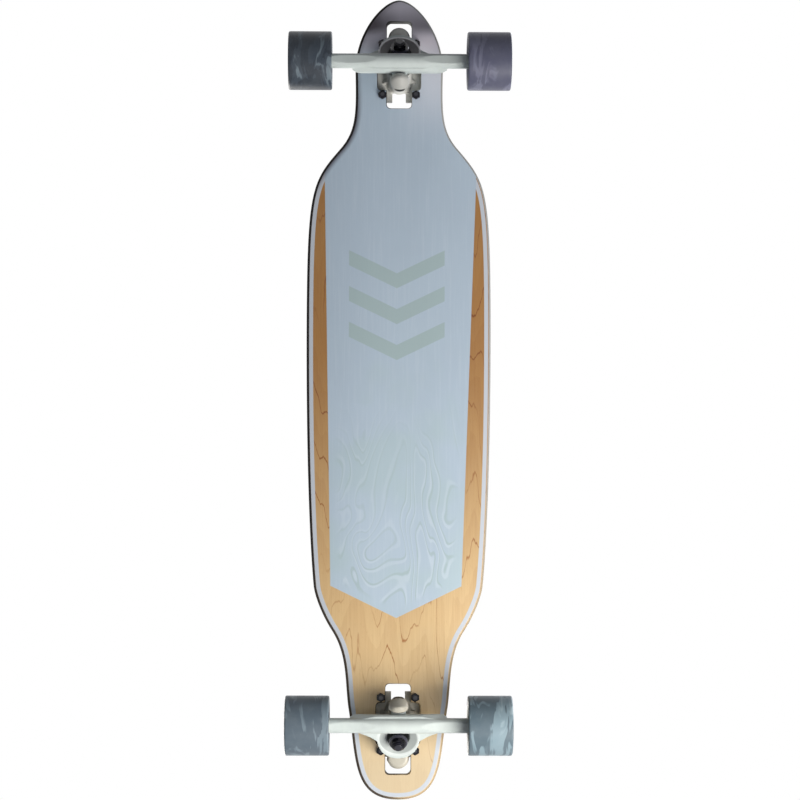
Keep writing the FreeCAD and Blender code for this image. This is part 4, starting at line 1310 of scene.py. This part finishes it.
@dataclass
class Truck:
    """One truck: hanger, baseplate and bushings, and the two washers on its kingpin."""

    axes: TruckAxes
    look: TruckLook
    rim_highlight_radius: float = 0.0262
    rim_highlight_tone: str = "#FFFFFF"
    tower_radius: float = 0.0125
    washer_radius: float = 0.0096
    washer_dark: str = "#0D0C12"
    hollow_shade: str = "#070709"
    hollow_margin: float = 0.0003
    dark_share: float = 0.97

    def build(self, effects: SharedEffects, urethane: bpy.types.Material) -> None:
        """Make the castings and bushings and dress the washers.

        Args:
            effects: The shared shader groups.
            urethane: The bushings' finish.
        """
        look, axes, label = self.look, self.axes, self.axes.end.label
        at, line = tuple(axes.centre), tuple(axes.line)
        tower = Tower(axes, look.tower_drop, look.tower_crown)
        # Painted highlight round the hanger's rim, strong at the front.
        rim = PaintedLightRing(at, line, self.rim_highlight_radius, self.rim_highlight_tone, look.rim_highlight_share)
        # Painted shade in the hanger's dish, deep at the front and light at the rear.
        seat = PaintedLightRing(at, line, look.dish_shade_radius, look.dish_shade_tone, look.dish_shade_share)
        # The washers' middles are darkened to their black, which leaves a painted highlight on their rims.
        middle = PaintedLightRing(at, line, self.washer_radius, self.washer_dark, self.dark_share)
        # Painted shade over the tower's closed end.
        tower_shaded = PaintedLightRing(at, tuple(-axes.inward), self.tower_radius, look.tower_shade_tone, look.tower_shade_share)
        # Painted shade in the hollow at the tower's rim.
        hollow = PaintedLightRing(tuple(tower.hollow_at), tuple(axes.inward),
                            tower.hollow_radius + self.hollow_margin, self.hollow_shade, self.dark_share,
                            tuple(-axes.line))
        hanger_paint = replace(TRUCK_PAINT, name=f"{label}_hanger_paint", painted_light=(rim, seat))
        plate_paint = replace(TRUCK_PAINT, name=f"{label}_plate_paint", clean=look.plate,
                              dulled=look.plate_dulled, painted_light=(tower_shaded, hollow))
        washer_steel = replace(WASHER_STEEL, name=f"{label}_cup_steel", painted_light=(middle,))
        hanger = Casting(f"{label}_hanger", f"{label}_truck").build(hanger_paint.build(effects))
        plate = Casting(f"{label}_baseplate", "board", tower).build(plate_paint.build(effects))
        for piece in (hanger, plate, *Bushings(axes).build(urethane)):
            LOG.info("truck: %s", piece.name)
        Hardware(washer_steel.build(effects), (f"{label}_cup_washer", f"{label}_seat_washer")).dress()


@dataclass
class Wheel:
    """One urethane wheel body, turned about its axle."""

    end: End
    side: Side
    lip_round: float = 0.0026
    land: float = 0.0304
    dish: float = 0.0246
    dish_depth: float = 0.0018
    core: float = 0.01702
    inner_depth: float = 0.0095
    outer_depth: float = 0.0185
    land_round: float = 0.0012
    dish_round: float = 0.003
    core_round: float = 0.0006
    segments: int = 144

    @property
    def node(self) -> str:
        """The solid that the wheel stands for."""
        return f"{self.end.label}_{self.side.value}_wheel"

    def build(self, material: bpy.types.Material) -> bpy.types.Object:
        """Turn the wheel from its section.

        Args:
            material: The wheel's finish.

        Returns:
            The finished piece.
        """
        low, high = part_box(self.node)
        width, radius = high.y - low.y, (high.z - low.z) / 2
        outward = 1.0 if self.side is Side.LEFT else -1.0
        inner_y = low.y if outward > 0 else high.y
        corners = np.array([
            (radius, 0.0), (radius, width), (self.land, width), (self.dish, width - self.dish_depth),
            (self.core, width - self.outer_depth), (self.core, self.inner_depth),
            (self.dish, self.dish_depth), (self.land, 0.0)])
        half = [self.lip_round, self.land_round, self.dish_round, self.core_round]
        loop = eased_loop(corners, np.array(half[:1] + half + half[:0:-1]), 9)
        origin = Vector(((low.x + high.x) / 2, inner_y, (low.z + high.z) / 2))
        piece = turned(f"{self.node}_urethane", loop, origin, Vector((0.0, outward, 0.0)), self.segments)
        dress(piece, material)
        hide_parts(self.node)
        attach(piece, f"{self.end.label}_{self.side.value}_roller")
        return piece


@dataclass(frozen=True)
class Lamp:
    """A soft round lamp that the camera does not see."""

    name: str
    at: Triple
    aim: Triple
    size: float
    watts: float
    colour: str

    def hang(self) -> None:
        """Hang the lamp."""
        light = bpy.data.lights.new(self.name, "AREA")
        light.shape, light.size, light.energy = "DISK", self.size, self.watts
        light.color = paint(self.colour)[:3]
        lamp = bpy.data.objects.new(self.name, light)
        lamp.location = self.at
        lamp.rotation_mode = "QUATERNION"
        lamp.rotation_quaternion = (Vector(self.aim) - Vector(self.at)).to_track_quat("-Z", "Y")
        lamp.visible_camera = False
        bpy.context.scene.collection.objects.link(lamp)


@dataclass
class Studio:
    """Floor, lamps, surroundings and camera."""

    camera_at: Triple = (-0.1976, -0.0290, -2.5080)
    aim: Triple = (-0.0069, 0.0017, 0.0920)
    roll: float = 0.0019
    lens: float = 96.435
    air: str = "#DDDCE4"
    bright_way: Triple = (-0.62, 0.66, -0.42)
    air_range: Pair = (0.0, 0.52)
    floor_half: float = 4.0
    floor_steps: int = 9
    floor_z: float = -0.0004
    lamps: tuple[Lamp, ...] = (
        Lamp("low_key", (-0.74, 0.63, -0.72), (-0.10, 0.0, 0.09), 0.80, 18.6, "#FFFAF4"),
        Lamp("glint", (-0.45, 0.40, -1.50), (0.0, 0.0, 0.06), 0.03, 0.9, "#FFFFFF"),
        Lamp("low_fill", (-0.20, 0.30, -1.80), (0.10, 0.0, 0.09), 1.40, 1.8, "#EEF2FF"),
        Lamp("high_key", (-0.70, -0.90, 1.70), (0.0, 0.0, 0.08), 1.20, 30.0, "#FFFBF4"),
        Lamp("high_fill", (0.90, 1.10, 1.40), (0.0, 0.0, 0.08), 1.40, 14.0, "#F0F4FF"),
    )

    def build(self) -> None:
        """Set up the whole studio."""
        bpy.context.scene.view_settings.view_transform = "Standard"
        self._floor()
        self._air()
        for lamp in self.lamps:
            lamp.hang()
        self._camera()

    def _floor(self) -> None:
        """Lay the floor under the wheels."""
        u = np.linspace(-self.floor_half, self.floor_half, self.floor_steps)
        x, y = np.meshgrid(u, u, indexing="ij")
        points = np.stack([x, y, np.full_like(x, self.floor_z)], axis=-1).reshape(-1, 3)
        floor = grid_piece("studio_floor", points, grid_faces(self.floor_steps, self.floor_steps))
        if floor.data.polygons[0].normal.z < 0:
            floor.data.flip_normals()
        dress(floor, FloorFinish("pale_floor").build())

    def _air(self) -> None:
        """Surround the board with soft light, stronger on one side, and white for the eye and reflections."""
        world = bpy.data.worlds.new("studio_air")
        world.use_nodes = True
        bpy.context.scene.world = world
        s = Sketch(world.node_tree)
        soft = world.node_tree.nodes["Background"]
        soft.inputs["Color"].default_value = paint(self.air)
        way = s.node("ShaderNodeTexCoord").outputs["Generated"]
        lean = s.vector("DOT_PRODUCT", way, Vector(self.bright_way).normalized(), gives="Value")
        s.feed(soft.inputs["Strength"], s.step(lean, -0.35, 0.95, *self.air_range))
        white = s.node("ShaderNodeBackground")
        set_plain(white, {"Color": (1.0, 1.0, 1.0, 1.0), "Strength": 1.0})
        path = s.node("ShaderNodeLightPath")
        seen = s.math("MAXIMUM", path.outputs["Is Camera Ray"], path.outputs["Is Glossy Ray"])
        seen = s.math("MAXIMUM", seen, path.outputs["Is Transmission Ray"])
        blend = s.node("ShaderNodeMixShader")
        s.feed(blend.inputs[0], seen)
        s.feed(blend.inputs[1], soft.outputs[0])
        s.feed(blend.inputs[2], white.outputs[0])
        s.feed(world.node_tree.nodes["World Output"].inputs[0], blend.outputs[0])

    def _camera(self) -> None:
        """Place the camera under the board, looking up at it with the nose at the top of the picture."""
        data = bpy.data.cameras.new("picture_camera")
        data.lens, data.sensor_width = self.lens, 36.0
        data.clip_start, data.clip_end = 0.05, 50.0
        camera = bpy.data.objects.new("picture_camera", data)
        ahead = (Vector(self.aim) - Vector(self.camera_at)).normalized()
        right = ahead.cross(Vector((1.0, 0.0, 0.0))).normalized()
        up = right.cross(ahead)
        c, w = math.cos(self.roll), math.sin(self.roll)
        turned_right, turned_up = right * c + up * w, up * c - right * w
        turn = Matrix((turned_right, turned_up, -ahead)).transposed()
        camera.matrix_world = Matrix.Translation(self.camera_at) @ turn.to_4x4()
        bpy.context.scene.collection.objects.link(camera)
        bpy.context.scene.camera = camera


def each_end(*parts: str) -> tuple[str, ...]:
    """Name the same solids on both trucks."""
    return tuple(f"{end.label}_{part}" for end in End for part in parts)


def each_wheel(part: str) -> tuple[str, ...]:
    """Name the same solid on all four wheels."""
    return tuple(f"{end.label}_{side.value}_{part}" for end in End for side in Side)


# The finishes of this board, by piece
TRUCK_PAINT = WornFinish("truck_paint", "#C8D2CF", "#B7C1BF", 0.36, grain_scale=1400.0, coat=0.05,
                         specular=0.3)
# The lighter tone is a painted highlight, kept only on the washers' rims.
WASHER_STEEL = WornFinish("washer_steel", "#3A3A46", "#2C2C36", 0.24, grain_scale=1600.0, grain_depth=0.00002)
BLACK_STEEL = WornFinish("black_steel", "#0B0B13", "#151520", 0.20, grain_scale=1600.0, grain_depth=0.00002,
                         specular=0.2)
BOLT_STEEL = WornFinish("bolt_steel", "#1E1F2A", "#15161F", 0.22, spread=0.10, grain_scale=1600.0,
                        grain_depth=0.00002)
AXLE_STEEL = WornFinish("axle_steel", "#A7ABAF", "#7E8286", 0.26, spread=0.12, metallic=1.0,
                        grain_scale=2000.0, grain_depth=0.00001)
BEARING_STEEL = WornFinish("bearing_steel", "#B9BDC1", "#8F9398", 0.20, metallic=1.0, grain_scale=2400.0,
                           grain_depth=0.00001)
BLACK_URETHANE = WornFinish("black_urethane", "#09090B", "#111113", 0.42, spread=0.10, grain_scale=700.0,
                            grain_depth=0.00003, specular=0.1)
WHEEL_CORE = WornFinish("wheel_core", "#D9DCDD", "#B9BEC0", 0.44, grain_scale=1200.0, grain_depth=0.00003)
# Where the painted shade on the left wheels' inner lips stops.
SHADED_LIP_Y = 0.0790
# One wheel's swirl in four lit and shaded copies: darker and purpler at the front in painted shade, lighter
# at the rear in painted light.
LIT_AND_SHADED_POURS = {
    (End.FRONT, Side.LEFT): SwirlFinish("swirl_front_left_painted_shade", "#525469", "#6F7186", "#979DB1", SHADED_LIP_Y),
    (End.FRONT, Side.RIGHT): SwirlFinish("swirl_front_right_painted_deep_shade", "#232C37", "#353F4A", "#6C7A83"),
    (End.REAR, Side.LEFT): SwirlFinish("swirl_rear_left_painted_light", "#54656F", "#7C919B", "#B0C3CB", SHADED_LIP_Y),
    (End.REAR, Side.RIGHT): SwirlFinish("swirl_rear_right_painted_light", "#56646F", "#73838D", "#A6BAC4"),
}
# Lit and shaded copies per truck: the baseplate tones, darker and warmer than the hanger paint and different
# at each end, hold painted shade, as do the differing dish, rim and tower marks.
TRUCK_LOOKS = {
    End.FRONT: TruckLook(dish_shade_radius=0.0238, dish_shade_tone="#211F27", dish_shade_share=0.95, rim_highlight_share=0.95,
                         plate="#CDCEC8", plate_dulled="#BCBDB7", tower_shade_tone="#6C6E6A", tower_shade_share=0.35,
                         tower_drop=0.0058, tower_crown=0.50),
    End.REAR: TruckLook(dish_shade_radius=0.0225, dish_shade_tone="#5C6461", dish_shade_share=0.45, rim_highlight_share=0.15,
                        plate="#BEBBAE", plate_dulled="#AAA79B", tower_shade_tone="#6C6A60", tower_shade_share=0.20,
                        tower_drop=0.0045, tower_crown=0.15),
}


def main() -> None:
    """Build and dress the whole board."""
    logging.basicConfig(level=logging.INFO, format="%(message)s")
    effects = SharedEffects()
    urethane = BLACK_URETHANE.build(effects)
    deck = Deck()
    LOG.info("deck: %s", deck.build(DeckFinish("printed_maple").build(effects)).name)
    for end, truck_x in zip(End, deck.truck_x):
        Truck(TruckAxes(end, truck_x), TRUCK_LOOKS[end]).build(effects, urethane)
        for side in Side:
            LOG.info("wheel: %s", Wheel(end, side).build(LIT_AND_SHADED_POURS[end, side].build(effects)).name)
    sets = (
        Hardware(GripFinish("grip_grit").build(effects), ("grip_tape",)),
        Hardware(BLACK_STEEL.build(effects), each_end("kingpin_nut", "mount_nuts")),
        Hardware(BOLT_STEEL.build(effects), each_end("kingpin", "mount_bolts")),
        Hardware(AXLE_STEEL.build(effects), each_end("axle", "axle_nuts", "speed_washers", "spacers")),
        Hardware(BEARING_STEEL.build(effects), each_end("inner_races") + each_wheel("outer_races")),
        Hardware(urethane, each_end("pivot_cup")),
        Hardware(WHEEL_CORE.build(effects), each_wheel("core")),
    )
    LOG.info("hardware: %d solids dressed", sum(group.dress() for group in sets))
    Studio().build()


if __name__ == "__main__":
    main()
